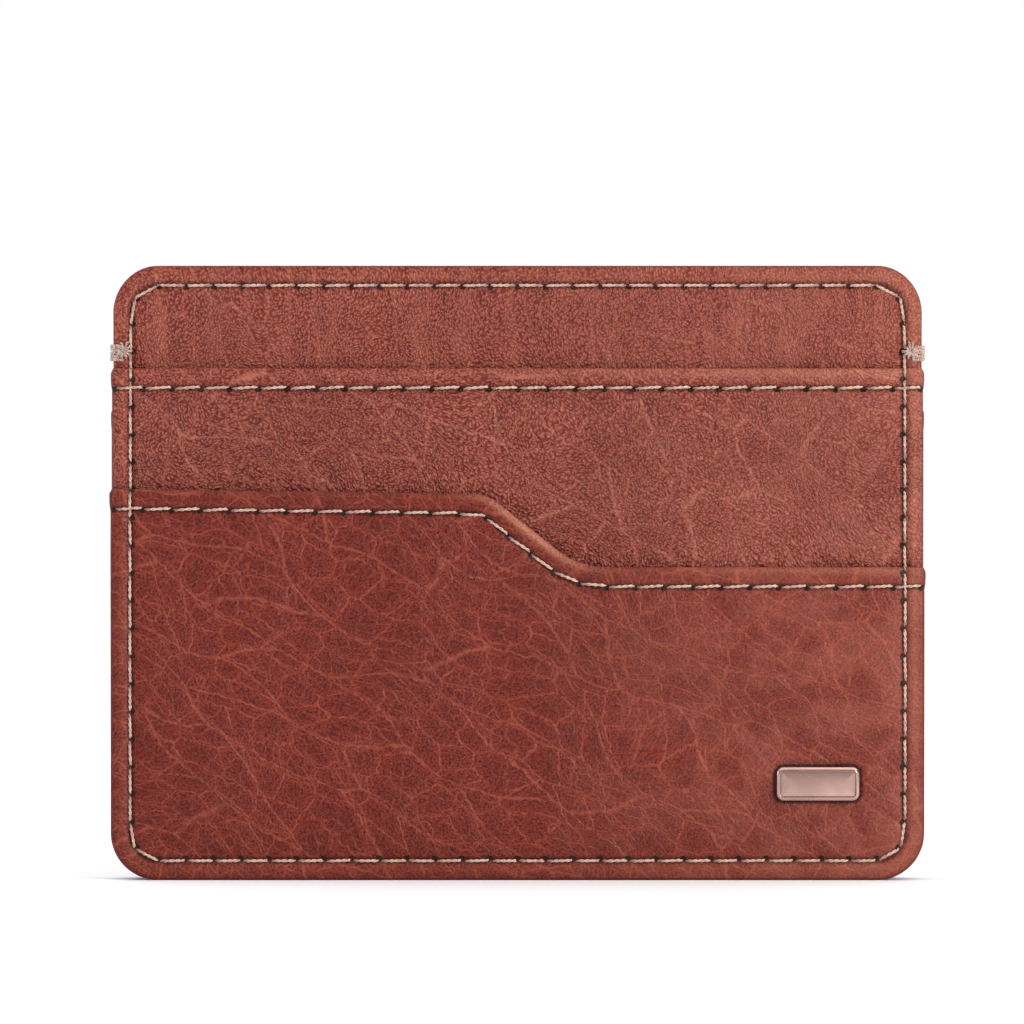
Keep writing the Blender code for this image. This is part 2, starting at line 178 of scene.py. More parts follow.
def wave_height(x):
    """The lower pocket's top edge and its slope at x."""
    x = np.asarray(x, float)
    rise = 1 - math.cos(WAVE_ANGLE)
    drop = WAVE_LEFT - WAVE_RIGHT - (SHOULDER + HOLLOW) * rise
    x1 = WAVE_START + SHOULDER * math.sin(WAVE_ANGLE)
    x2 = x1 + drop / math.tan(WAVE_ANGLE)
    x3 = x2 + HOLLOW * math.sin(WAVE_ANGLE)
    left_slope = (WAVE_LEFT - WAVE_EDGE) / (WAVE_START + WIDTH / 2)
    arc1 = np.sqrt(np.maximum(SHOULDER**2 - (x - WAVE_START) ** 2, 1e-6))
    arc2 = np.sqrt(np.maximum(HOLLOW**2 - (x3 - x) ** 2, 1e-6))
    z1 = WAVE_LEFT - SHOULDER * rise
    cases = [x < WAVE_START, x < x1, x < x2, x < x3]
    height = np.select(
        cases,
        [
            WAVE_LEFT + left_slope * (x - WAVE_START),
            WAVE_LEFT - SHOULDER + arc1,
            z1 - (x - x1) * math.tan(WAVE_ANGLE),
            WAVE_RIGHT + HOLLOW - arc2,
        ],
        WAVE_RIGHT,
    )
    slope = np.select(
        cases,
        [
            left_slope + 0 * x,
            -(x - WAVE_START) / arc1,
            -math.tan(WAVE_ANGLE) + 0 * x,
            -(x3 - x) / arc2,
        ],
        0.0,
    )
    return height, slope


def level_edge(level):
    """A straight top edge as a function of x."""

    def edge(x):
        flat = 0.0 * np.asarray(x, float)
        return level + flat, flat

    return edge


def below_edge(edge, x, z):
    """How far a point lies below a top edge, measured square to it."""
    height, slope = edge(x)
    return (height - z) / np.sqrt(1 + slope**2)


def edge_point(edge, x, v):
    """The z of the point v below a top edge at x."""
    height, slope = edge(x)
    return height - v * np.sqrt(1 + slope**2)


# Seams: every seam has a length coordinate that counts stitches


SIDE_RUN = HEIGHT - 2 * CORNER
BASE_RUN = WIDTH - 2 * CORNER
TURN_RADIUS = CORNER - SEAM_INSET
TURN_RUN = TURN_RADIUS * math.pi / 2
LOOP_RUN = 2 * (SIDE_RUN + BASE_RUN) + 4 * TURN_RUN
LOOP_STITCHES = 96
LOOP_PITCH = LOOP_RUN / LOOP_STITCHES
HEM_PITCH = 3.5
HEM_END = 0.42


def loop_point(t):
    """The (x, z) at a distance t along the perimeter seam, anticlockwise from the lower left."""
    half = BASE_RUN / 2
    reach = WIDTH / 2 - SEAM_INSET
    t = t % LOOP_RUN
    legs = [
        (BASE_RUN, (-half, SEAM_INSET), (1, 0), None),
        (TURN_RUN, (half, CORNER), None, -90),
        (SIDE_RUN, (reach, CORNER), (0, 1), None),
        (TURN_RUN, (half, HEIGHT - CORNER), None, 0),
        (BASE_RUN, (half, HEIGHT - SEAM_INSET), (-1, 0), None),
        (TURN_RUN, (-half, HEIGHT - CORNER), None, 90),
        (SIDE_RUN, (-reach, HEIGHT - CORNER), (0, -1), None),
        (TURN_RUN, (-half, CORNER), None, 180),
    ]
    for run, start, way, first in legs:
        if t <= run:
            if way:
                return start[0] + way[0] * t, start[1] + way[1] * t
            angle = math.radians(first) + t / TURN_RADIUS
            x = start[0] + TURN_RADIUS * math.cos(angle)
            return x, start[1] + TURN_RADIUS * math.sin(angle)
        t -= run
    return legs[0][1]


def loop_stitch(x, z):
    """The stitch count along the perimeter seam at the place nearest to each point."""
    x = np.asarray(x, float)
    z = np.asarray(z, float)
    half = BASE_RUN / 2
    qx = np.abs(x) - half
    qz = np.abs(z - HEIGHT / 2) - SIDE_RUN / 2
    right = x > 0
    up = z > HEIGHT / 2
    turn = np.arctan2(np.maximum(qz, 0), np.maximum(qx, 1e-9)) * TURN_RADIUS
    corner = (qx > 0) & (qz > 0)
    along_side = np.where(right, z - CORNER, HEIGHT - CORNER - z)
    along_base = np.where(up, half - x, x + half)
    start_right = BASE_RUN + TURN_RUN
    start_top = start_right + SIDE_RUN + TURN_RUN
    start_left = start_top + BASE_RUN + TURN_RUN
    t_corner = np.select(
        [right & ~up, right & up, ~right & up],
        [
            start_right - turn,
            start_right + SIDE_RUN + turn,
            start_left - turn,
        ],
        start_left + SIDE_RUN + turn,
    )
    t_side = np.where(right, start_right, start_left) + along_side
    t_base = np.where(up, start_top, 0.0) + along_base
    t = np.where(corner, t_corner, np.where(qx > qz, t_side, t_base))
    return t / LOOP_PITCH


def hem_runs(edge):
    """Samples of x and the stitch count along a hem's seam, from edge to edge."""
    reach = WIDTH / 2 - HEM_END
    xs = np.linspace(-reach, reach, 1200)
    zs = edge_point(edge, xs, HEM_INSET)
    steps = np.hypot(np.diff(xs), np.diff(zs))
    run = np.concatenate([[0.0], np.cumsum(steps)])
    count = round(run[-1] / HEM_PITCH)
    return xs, run / run[-1] * count


def badge_distance(x, z):
    """How far a point lies outside the badge's outline."""
    box_low, box_high = low("badge_plate"), high("badge_plate")
    qx = np.abs(x - (box_low.x + box_high.x) / 2) - (box_high.x - box_low.x) / 2 + BADGE_CORNER
    qz = np.abs(z - (box_low.z + box_high.z) / 2) - (box_high.z - box_low.z) / 2 + BADGE_CORNER
    outside = np.hypot(np.maximum(qx, 0), np.maximum(qz, 0))
    return outside + np.minimum(np.maximum(qx, qz), 0) - BADGE_CORNER


# Height functions: the Y of each layer's outer face at (x, z)


def edge_fall(inset):
    """How much a wall's face falls away towards its sewn edge, from 0 to 1."""
    return 1 - smooth(0.0, 6.5, inset)


def seam_relief(x, z, inset):
    """The dip of the perimeter seam, with ripples between its stitches and drag lines inside it."""
    d = inset - SEAM_INSET
    count = loop_stitch(x, z)
    groove = 0.22 * bell(d, 0, 0.42) - 0.13 * bell(d, -1.1, 0.55)
    ripple = 0.035 * np.cos(2 * np.pi * count) * bell(d, 0, 1.1)
    drag = gradient_noise(count * 1.3, inset * 0.12, 1.0, DRAG_SEED)
    drag = drag * smooth(0, 1.0, d) * np.exp(-np.maximum(d, 0) / 4.0)
    return groove + ripple + 0.16 * drag


def undulation(x, z, seed):
    """The gentle unevenness of a glued and sewn leather face."""
    broad = 0.09 * gradient_noise(x, z, 17.0, seed)
    middle = 0.035 * gradient_noise(x, z, 6.0, seed + 3)
    fine = 0.012 * gradient_noise(x, z * 1.2, 1.9, seed + 7)
    return broad + middle + fine


def panel_face(side, face_y, seed):
    """An outer panel's face."""

    def height(x, z):
        inset = box_inset(x, z, 0.3, False)
        y = 0.30 * edge_fall(inset) + seam_relief(x, z, inset)
        y = y + undulation(x, z, seed)
        return face_y - side * y

    return height


def pocket_face(side, face_y, edge, seed):
    """A pocket's face, with its puffed and sewn hem."""

    def height(x, z):
        inset = box_inset(x, z, 0.1, True)
        v = below_edge(edge, x, z)
        xs, counts = hem_runs(edge)
        count = np.interp(x, xs, counts)
        y = 0.42 * edge_fall(inset) + seam_relief(x, z, inset)
        y = y + 0.50 * (1 - smooth(0.5, 9.0, v))
        y = y - 0.30 * np.sqrt(np.clip(np.sin(np.pi * np.clip(v / HEM_INSET, 0, 1)), 0, 1))
        y = y + 0.20 * bell(v, HEM_INSET, 0.38)
        y = y + 0.03 * np.cos(2 * np.pi * count) * bell(v, HEM_INSET, 1.0)
        y = y + undulation(x, z, seed) * smooth(-0.5, 4.0, v)
        if side == FRONT and edge is wave_height:
            y = y + 0.10 * smooth(0.9, 0.0, badge_distance(x, z))
        return face_y - side * y

    return height


# Meshes


def rings_of(count):
    """Angles of a quarter turn, without its start."""
    return [math.pi / 2 * (i + 1) / count for i in range(count)]


def make_mesh(name, points, faces, attributes=None):
    """A mesh object with smooth faces; points are in millimetres."""
    points = np.asarray(points, float)
    mesh = bpy.data.meshes.new(name)
    mesh.from_pydata((points * MM).tolist(), [], faces)
    mesh.update()
    mesh.shade_smooth()
    for key, values in {"rest": points, **(attributes or {})}.items():
        kind, field = ("FLOAT_VECTOR", "vector") if values.ndim == 2 else ("FLOAT", "value")
        made = mesh.attributes.new(key, kind, "POINT")
        made.data.foreach_set(field, values.astype(np.float32).ravel())
    piece = bpy.data.objects.new(name, mesh)
    bpy.context.scene.collection.objects.link(piece)
    return piece


def grid_faces(rows, columns, first, flip):
    """Quads of a grid of vertices that starts at index first."""
    index = first + np.arange(rows * columns).reshape(rows, columns)
    quads = np.stack([index[:-1, :-1], index[:-1, 1:], index[1:, 1:], index[1:, :-1]], axis=-1)
    quads = quads.reshape(-1, 4)
    return (quads[:, ::-1] if flip else quads).tolist()


def round_corner(x, z, centre_x, centre_z, way_x, way_z):
    """Bend the square grid beyond a corner's centre into a quarter of concentric circles."""
    a = (x - centre_x) * way_x
    b = (z - centre_z) * way_z
    inside = (a > 0) & (b > 0)
    big = np.maximum(np.maximum(a, b), 1e-9)
    small = np.minimum(a, b)
    turn = np.pi / 4 * small / big
    angle = np.where(a >= b, turn, np.pi / 2 - turn)
    new_x = centre_x + way_x * big * np.cos(angle)
    new_z = centre_z + way_z * big * np.sin(angle)
    return np.where(inside, new_x, x), np.where(inside, new_z, z)


def perimeter(rows, columns):
    """The grid's boundary, anticlockwise from its first vertex: (row, column) of each vertex."""
    path = [(0, i) for i in range(columns)]
    path += [(j, columns - 1) for j in range(1, rows)]
    path += [(rows - 1, i) for i in range(columns - 2, -1, -1)]
    path += [(j, 0) for j in range(rows - 2, 0, -1)]
    return np.array(path)


# Distances in from the outline, and below a hem, of the grid lines: close together at the seams
SEAM_LINES = [RIM, 0.9, 1.3, 1.7, 1.95, 2.1, 2.25, 2.4, 2.55, 2.7, 2.85, 3.1, 3.5, 4.0, 4.45, 4.78]
SEAM_LINES += [4.9, 5.3, CORNER]
COARSE_LINES = [RIM, 1.3, 2.4, 3.5, 4.45, 4.78, 4.9, CORNER]
HEM_LINES = [HEM_RIM, 0.6, 0.9, 1.25, 1.6, 1.9, 2.1, 2.25, 2.4, 2.55, 2.7, 2.9, 3.3, 3.8, 4.4, 5.1]


def columns_of(step):
    """The x of each grid column: close together along the side seams, even between them."""
    side = [WIDTH / 2 - d for d in SEAM_LINES]
    inner = side[-1]
    count = int(round(2 * inner / step))
    middle = np.linspace(-inner, inner, count + 1)
    return np.concatenate([[-x for x in side[:-1]], middle, side[-2::-1]])


def spaced(start, stop, step):
    """Even values from start up to stop, without the last one."""
    count = max(int(round((stop - start) / step)), 1)
    return np.linspace(start, stop, count + 1)[:-1]


def sheet_grid(columns, rows, inset_at, has_top_corners):
    """The (x, z) of every grid vertex, in the rounded outline moved in by inset_at(x, z).

    rows holds the z of each row at each column.
    """
    x = np.repeat(columns[None, :], len(rows), axis=0)
    z = np.array(rows)
    half = WIDTH / 2 - CORNER
    for way in (-1, 1):
        x, z = round_corner(x, z, way * half, CORNER, way, -1)
        if has_top_corners:
            x, z = round_corner(x, z, way * half, HEIGHT - CORNER, way, 1)
    near = 1 - smooth(0.0, CORNER, box_inset(x, z, 0.0, not has_top_corners))
    amount = inset_at(x, z) * near
    x = x - np.sign(x) * amount * smooth(half - 1, WIDTH / 2 - RIM, np.abs(x))
    z = z + amount * (1 - smooth(RIM, CORNER, z))
    return x, z


def closed_sheet(name, side, x, z, face, back, rim, normals, attributes, bulge):
    """A closed leather sheet between a face and a back height, with a rounded rim round the grid.

    The flat attribute is the place on the leather laid flat: it runs on over the rim.
    """
    rows, columns = x.shape
    loop = perimeter(rows, columns)
    lj, li = loop[:, 0], loop[:, 1]
    bx, bz = x[lj, li], z[lj, li]
    y_face = face(x, z)
    y_back = back(x, z)
    yf, yb = y_face[lj, li], y_back[lj, li]
    nx, nz = normals
    wall = side * (yf - yb)
    turn = np.minimum(rim, wall * 0.5)
    back_turn = np.minimum(0.25, turn * 0.8)
    rings = []
    for angle in rings_of(6):
        reach = (rim + bulge) * math.sin(angle)
        rings.append((reach, yf - side * turn * (1 - math.cos(angle)), rim * angle))
    for share in (0.33, 0.66, 1.0):
        y = (yf - side * turn) * (1 - share) + (yb + side * back_turn) * share
        run = rim * math.pi / 2 + share * (wall - turn)
        rings.append((rim + bulge * (1 - share), y, run))
    for angle in rings_of(3):
        reach = rim - back_turn * (1 - math.cos(angle))
        run = rim * math.pi / 2 + wall - turn + back_turn * angle
        rings.append((reach, yb + side * back_turn * (1 - math.sin(angle)), run))
    count = rows * columns
    points = [np.stack([x, y, z], axis=-1).reshape(-1, 3) for y in (y_face, y_back)]
    flat = [np.stack([x, z, 0 * x], axis=-1).reshape(-1, 3)] * 2
    for reach, y, run in rings:
        points.append(np.stack([bx + nx * reach, y, bz + nz * reach], axis=-1))
        flat.append(np.stack([bx + nx * run, bz + nz * run, 0 * bx], axis=-1))
    points = np.concatenate(points)
    flip = side == BACK
    faces = grid_faces(rows, columns, 0, flip) + grid_faces(rows, columns, count, not flip)
    n = len(loop)
    first = lj * columns + li
    chain = [first] + [2 * count + n * k + np.arange(n) for k in range(len(rings))] + [first + count]
    for one, two in zip(chain, chain[1:]):
        quads = np.stack([one, two, np.roll(two, -1), np.roll(one, -1)], axis=-1)
        faces += (quads[:, ::-1] if flip else quads).tolist()
    flat = np.concatenate(flat)
    values = attributes(flat[:, 0], flat[:, 1])
    values["flat"] = flat
    return make_mesh(name, points, faces, values)


def loop_normals(x, z, top_slope=None):
    """Each boundary vertex's outward direction, whether it is on the top edge, and its place."""
    rows, columns = x.shape
    loop = perimeter(rows, columns)
    lj, li = loop[:, 0], loop[:, 1]
    bx, bz = x[lj, li], z[lj, li]
    half = WIDTH / 2 - CORNER
    nx = np.zeros(len(loop))
    nz = np.zeros(len(loop))
    on_left = li == 0
    on_right = li == columns - 1
    on_base = lj == 0
    on_top = lj == rows - 1
    nx[on_left] -= 1
    nx[on_right] += 1
    nz[on_base] -= 1
    low_corner = (np.abs(bx) > half) & (bz < CORNER)
    dx = bx - np.sign(bx) * half
    dz = bz - CORNER
    length = np.maximum(np.hypot(dx, dz), 1e-9)
    nx = np.where(low_corner, dx / length, nx)
    nz = np.where(low_corner, dz / length, nz)
    if top_slope is None:
        nz[on_top] += 1
        high_corner = (np.abs(bx) > half) & (bz > HEIGHT - CORNER)
        dz = bz - (HEIGHT - CORNER)
        length = np.maximum(np.hypot(dx, dz), 1e-9)
        nx = np.where(high_corner, dx / length, nx)
        nz = np.where(high_corner, dz / length, nz)
    else:
        slope = top_slope(bx)
        size = np.sqrt(1 + slope**2)
        nx = np.where(on_top, nx - slope / size, nx)
        nz = np.where(on_top, 1 / size, nz)
    return nx, nz, on_top, bx, bz


def seam_attributes(edge, wear):
    """Attributes that tell the leather's material where the stitch holes are, and where to paint
    highlight (above zero) and shade (below zero).
    """

    def values(x, z):
        inset = box_inset(x, z, 0.1, edge is not None)
        loop = np.stack([loop_stitch(x, z), inset - SEAM_INSET, np.zeros_like(x)], axis=-1)
        if edge is None:
            v = np.full_like(x, NOT_NEAR)
            hem = np.stack([np.zeros_like(x), v, np.zeros_like(x)], axis=-1)
        else:
            v = below_edge(edge, x, z)
            xs, counts = hem_runs(edge)
            past = np.sign(x) * np.clip((np.abs(x) - xs[-1]) / HEM_PITCH, 0, 0.5)
            hem = np.stack([np.interp(x, xs, counts) + past, v - HEM_INSET, np.zeros_like(x)], axis=-1)
        return {"loop_seam": loop, "hem_seam": hem, "wear": wear(x, z, v, inset)}

    return values


def painted_rim_sheen(x, inset):
    """Painted highlight on the bead outside the seam, stronger on the right."""
    return (0.12 + 0.12 * smooth(20.0, 48.0, x)) * bell(inset, 1.35, 0.6)


def painted_rim_sheen_only(x, z, v, inset):
    """Only the rim's painted highlight."""
    return painted_rim_sheen(x, inset)


def painted_hem_sheen(x, z, v, inset):
    """Painted highlight along a straight hem's fold, stronger towards the right."""
    fold = (0.04 + 0.34 * smooth(-25.0, 45.0, x)) * bell(v, 0.5, 0.6)
    return np.maximum(fold, painted_rim_sheen(x, inset))


def painted_wave_sheen_and_badge_shade(x, z, v, inset):
    """Painted highlight along the waved hem's fold, brightest on its slope; painted shade darkens the
    ring round the badge.
    """
    slope = bell(x, 1.5, 6.0)
    fold = (0.08 + 0.9 * slope + 0.26 * smooth(12.0, 45.0, x)) * bell(v, 0.45, 0.45)
    painted_highlight = np.maximum(fold, painted_rim_sheen(x, inset))
    return painted_highlight - 0.9 * bell(badge_distance(x, z), 0.05, 0.32)


def lip_inner_y(side):
    """The Y of a free lip's inner face."""
    return PARTING + side * (PARTING - LIP_BACK)


def make_panel(name, side, face_y, face, step):
    """The outer panel of one wall, from its base to the top of its lip; face gives its Y."""
    columns = columns_of(step)
    top_lines = [HEIGHT - d for d in SEAM_LINES][::-1]
    levels = np.concatenate([
        COARSE_LINES[:-1],
        spaced(CORNER, PANEL_HIDDEN_BELOW, HIDDEN_STEP),
        spaced(PANEL_HIDDEN_BELOW, HEIGHT - CORNER, step),
        top_lines,
    ])
    rows = np.repeat(levels[:, None], len(columns), axis=1)

    def inset_at(x, z):
        hem = UPPER_HEM if side == FRONT else BACK_HEM
        return 0.28 + 0.9 * (1 - smooth(hem - 1.6, hem - 0.6, z))

    x, z = sheet_grid(columns, rows, inset_at, True)
    meeting = PARTING + side * MEETING_GAP
    lip_back = lip_inner_y(side)

    def back(x, z):
        inset = box_inset(x, z, 0.0, False)
        lip = smooth(FLEX_Z - 1.2, FLEX_Z + 0.8, z)
        rim_level = meeting * (1 - lip) + lip_back * lip
        inner = (face_y - side * LEATHER) * (1 - lip) + lip_back * lip
        return np.where(inset > SLOT_INSET, inner, rim_level)

    nx, nz = loop_normals(x, z)[:2]
    rim = np.full(len(nx), RIM)
    values = seam_attributes(None, painted_rim_sheen_only)
    return closed_sheet(name, side, x, z, face, back, rim, (nx, nz), values, 0 * rim)


def make_pocket(name, side, under_y, edge, face, step, hidden_below, inset_at, wear):
    """A pocket sheet: waved or straight hem, turned round the sides and the base.

    under_y is the face that it lies on, and its grid is coarse up to hidden_below.
    """
    columns = columns_of(step)
    hem_rows = [edge_point(edge, columns, v) for v in HEM_LINES]
    lowest_hem = hem_rows[-1]
    base_lines = SEAM_LINES if hidden_below < CORNER else COARSE_LINES
    start = max(hidden_below, CORNER)
    top = float(np.mean(lowest_hem))
    covered = spaced(CORNER, start, HIDDEN_STEP) if start > CORNER else []
    shares = (np.concatenate([covered, spaced(start, top, step)]) - CORNER) / (top - CORNER)
    rows = [np.full(len(columns), d) for d in base_lines[:-1]]
    rows += [CORNER + share * (lowest_hem - CORNER) for share in shares]
    rows += hem_rows[::-1]
    x, z = sheet_grid(columns, np.array(rows), inset_at, False)
    meeting = PARTING + side * MEETING_GAP

    def back(x, z):
        inset = box_inset(x, z, 0.0, True)
        v = below_edge(edge, x, z)
        inner = face(x, z) - side * (LEATHER + 0.15 * (1 - smooth(3.5, 5.0, v)))
        band = np.full_like(inner, under_y + side * 0.06)
        return np.where(inset > SLOT_INSET, inner, np.where(inset > RIM + 0.5, band, meeting))

    nx, nz, on_top, bx, bz = loop_normals(x, z, lambda at: edge(at)[1])
    rim = np.where(on_top, HEM_RIM, RIM)
    along_hem = np.clip((below_edge(edge, bx, bz) + 0.5) / 3.2, 0, 1)
    bulge = np.where(on_top, 0.0, 0.14 * np.sqrt(np.clip(np.sin(np.pi * along_hem), 0, 1)))
    return closed_sheet(name, side, x, z, face, back, rim, (nx, nz), seam_attributes(edge, wear), bulge)


# Threads


def directions(path, up):
    """Two unit directions square to a path at each of its points; up is never along the path."""
    tangent = np.gradient(path, axis=0)
    tangent /= np.maximum(np.linalg.norm(tangent, axis=1, keepdims=True), 1e-9)
    across = np.cross(tangent, np.array(up))
    across /= np.maximum(np.linalg.norm(across, axis=1, keepdims=True), 1e-9)
    return across, np.cross(across, tangent)


def strand(points, faces, path, radius, sides, up):
    """Add a closed tube along a path of points to the lists of points and faces."""
    across, lift = directions(path, up)
    first = len(points)
    count = len(path)
    for k in range(sides):
        angle = 2 * math.pi * k / sides
        ring = path + (across * math.cos(angle) + lift * math.sin(angle)) * radius
        points.extend(ring.tolist())
    for k in range(sides):
        a = first + k * count
        b = first + ((k + 1) % sides) * count
        for i in range(count - 1):
            faces.append((a + i, b + i, b + i + 1, a + i + 1))
    faces.append(tuple(first + k * count for k in range(sides))[::-1])
    faces.append(tuple(first + k * count + count - 1 for k in range(sides)))


DEPTHWAYS = (0.0, 1.0, 0.0)
UPWAYS = (0.0, 0.0, 1.0)


def twisted(points, faces, path, phase, turns, up=DEPTHWAYS, core=0.088, ply=0.112):
    """Add a two-ply thread along a path."""
    path = np.asarray(path, float)
    across, lift = directions(path, up)
    share = np.linspace(0, 1, len(path))
    for half in (0, math.pi):
        angle = phase + half + 2 * math.pi * turns * share
        offset = across * np.cos(angle)[:, None] + lift * np.sin(angle)[:, None]
        strand(points, faces, path + core * offset, ply, 7, up)


STITCH_SAMPLES = 17
STITCH_RISE = 0.16
INNER_RISE = 0.07
STITCH_DIVE = 0.42
LOOP_SLANT = 0.04
HEM_SLANT = 0.13


def stitch_path(start, end, surface, side, slant, rise):
    """The path of one stitch over a surface: it climbs slowly from one hole and dives into the next."""
    t = np.linspace(0.0, 1.0, STITCH_SAMPLES)
    start = np.array(start)
    end = np.array(end)
    way = (end - start) / np.linalg.norm(end - start)
    square = np.array([-way[1], way[0]])
    start = start - square * slant
    end = end + square * slant
    flat = start[None, :] + (end - start)[None, :] * t[:, None]
    high_y = side * surface(flat[:, 0], flat[:, 1])
    for _ in range(2):
        padded = np.pad(high_y, 1, mode="edge")
        high_y = np.maximum(high_y, (padded[:-2] + padded[1:-1] + padded[2:]) / 3)
    arch = np.clip(np.minimum(t / 0.34, (1 - t) / 0.13), 0, 1)
    lift = -STITCH_DIVE + (STITCH_DIVE + rise) * np.sin(arch * math.pi / 2)
    return np.stack([flat[:, 0], side * (high_y + lift), flat[:, 1]], axis=-1)


def sew(name, rows, seed, slant):
    """Stitches along rows of (x, z) holes, each row on its own surface, side and height above it."""
    rng = np.random.default_rng(seed)
    points = []
    faces = []
    for holes, surface, side, rise in rows:
        for one, two in zip(holes, holes[1:]):
            jitter = rng.uniform(-0.04, 0.04, 3)
            path = stitch_path(one, two, surface, side, slant + jitter[0], rise + jitter[1])
            twisted(points, faces, path, rng.uniform(0, 6.28), 2.3 + 6 * jitter[2])
    share = np.tile(np.linspace(0, 1, STITCH_SAMPLES), len(points) // STITCH_SAMPLES)
    return make_mesh(name, points, faces, {"share": share})


# Materials


class Shader:
    """A material's node tree, with short calls for the nodes that this scene uses."""

    def __init__(self, name):
        self.material = bpy.data.materials.new(name)
        self.material.use_nodes = True
        self.tree = self.material.node_tree
        self.principled = self.tree.nodes["Principled BSDF"]

    def node(self, kind, **settings):
        made = self.tree.nodes.new(kind)
        for key, value in settings.items():
            setattr(made, key, value)
        return made

    def link(self, source, target):
        if isinstance(source, (int, float)):
            target.default_value = source
        elif isinstance(source, tuple):
            target.default_value = source if len(source) == len(target.default_value) else (*source, 1.0)
        else:
            self.tree.links.new(source, target)

    def attribute(self, name):
        return self.node("ShaderNodeAttribute", attribute_name=name)

    def math(self, operation, a, b=0.0):
        made = self.node("ShaderNodeMath", operation=operation)
        for socket, value in zip(made.inputs, (a, b)):
            self.link(value, socket)
        return made.outputs[0]

    def vector_math(self, operation, a, b):
        made = self.node("ShaderNodeVectorMath", operation=operation)
        self.link(a, made.inputs[0])
        self.link(b, made.inputs[1])
        return made.outputs[0]

    def place(self, source, scale, turn=0.0):
        """A place turned about Z, then scaled."""
        turned = self.node("ShaderNodeMapping", vector_type="POINT")
        self.link(source, turned.inputs["Vector"])
        turned.inputs["Rotation"].default_value = (0, 0, math.radians(turn))
        scaled = self.node("ShaderNodeMapping", vector_type="POINT")
        self.link(turned.outputs[0], scaled.inputs["Vector"])
        scaled.inputs["Scale"].default_value = scale
        return scaled.outputs[0]

    def noise(self, source, scale, detail, roughness=0.55, distortion=0.0, space="3D"):
        made = self.node("ShaderNodeTexNoise", noise_dimensions=space)
        self.link(source, made.inputs["Vector"])
        made.inputs["Scale"].default_value = scale
        made.inputs["Detail"].default_value = detail
        made.inputs["Roughness"].default_value = roughness
        made.inputs["Distortion"].default_value = distortion
        return made

    def cells(self, source, scale, feature="F1"):
        made = self.node("ShaderNodeTexVoronoi", feature=feature, voronoi_dimensions="2D")
        self.link(source, made.inputs["Vector"])
        made.inputs["Scale"].default_value = scale
        return made.outputs["Distance"]

    def ease(self, value, low_edge, high_edge, low_value=0.0, high_value=1.0):
        made = self.node("ShaderNodeMapRange", interpolation_type="SMOOTHSTEP")
        self.link(value, made.inputs["Value"])
        made.inputs["From Min"].default_value = low_edge
        made.inputs["From Max"].default_value = high_edge
        made.inputs["To Min"].default_value = low_value
        made.inputs["To Max"].default_value = high_value
        return made.outputs["Result"]

    def mix(self, factor, a, b):
        made = self.node("ShaderNodeMix", data_type="RGBA", clamp_factor=True)
        self.link(factor, made.inputs[0])
        self.link(a, made.inputs[6])
        self.link(b, made.inputs[7])
        return made.outputs[2]

    def bump(self, height, distance, strength):
        made = self.node("ShaderNodeBump")
        self.link(height, made.inputs["Height"])
        made.inputs["Distance"].default_value = distance
        made.inputs["Strength"].default_value = strength
        return made.outputs[0]

    def set(self, **values):
        for key, value in values.items():
            self.link(value, self.principled.inputs[key.replace("_", " ")])
        return self.material


def tone(red, green, blue):
    """A linear colour from display values of 0 to 255."""
    out = []
    for value in (red, green, blue):
        c = value / 255
        out.append(c / 12.92 if c <= 0.04045 else ((c + 0.055) / 1.055) ** 2.4)
    return tuple(out)


DEEPER = tone(72, 10, 6)
DEEP = tone(88, 15, 9)
DARK = tone(124, 40, 26)
RED = tone(130, 43, 28)
# The next two are light tones that are also painted highlight on the pebbles' tops.
WARM_HIGHLIGHT = tone(130, 44, 29)
ROSE_BANDS_AND_HIGHLIGHT = tone(182, 102, 80)
PINK = tone(192, 114, 93)
VEIN = tone(166, 82, 60)
# The next three are painted light: a sheen towards the right, a highlight on ridges, and the shade in
# stitch holes.
PAINTED_RIGHT_SHEEN = tone(182, 106, 86)
PAINTED_SHEEN = tone(184, 120, 95)
PAINTED_HOLE_SHADE = (0.014, 0.004, 0.003)


def stitch_holes(s, attribute, pitch):
    """A mask of the small round holes at each whole stitch of a seam, and of the groove it lies in."""
    parts = s.node("ShaderNodeSeparateXYZ")
    s.link(s.attribute(attribute).outputs["Vector"], parts.inputs[0])
    whole = s.math("FRACT", s.math("ADD", parts.outputs[0], 0.5))
    along = s.math("MULTIPLY", s.math("SUBTRACT", whole, 0.5), pitch)
    off = parts.outputs[1]
    aside = s.math("MULTIPLY", s.math("SUBTRACT", off, HOLE_OFFSET), 1.25)
    squares = s.math("ADD", s.math("MULTIPLY", along, along), s.math("MULTIPLY", aside, aside))
    reach = s.math("SQRT", squares)
    hole = s.ease(reach, 0.30, 0.46, 1.0, 0.0)
    groove = s.ease(s.math("ABSOLUTE", off), 0.1, 0.65, 1.0, 0.0)
    return hole, groove, off


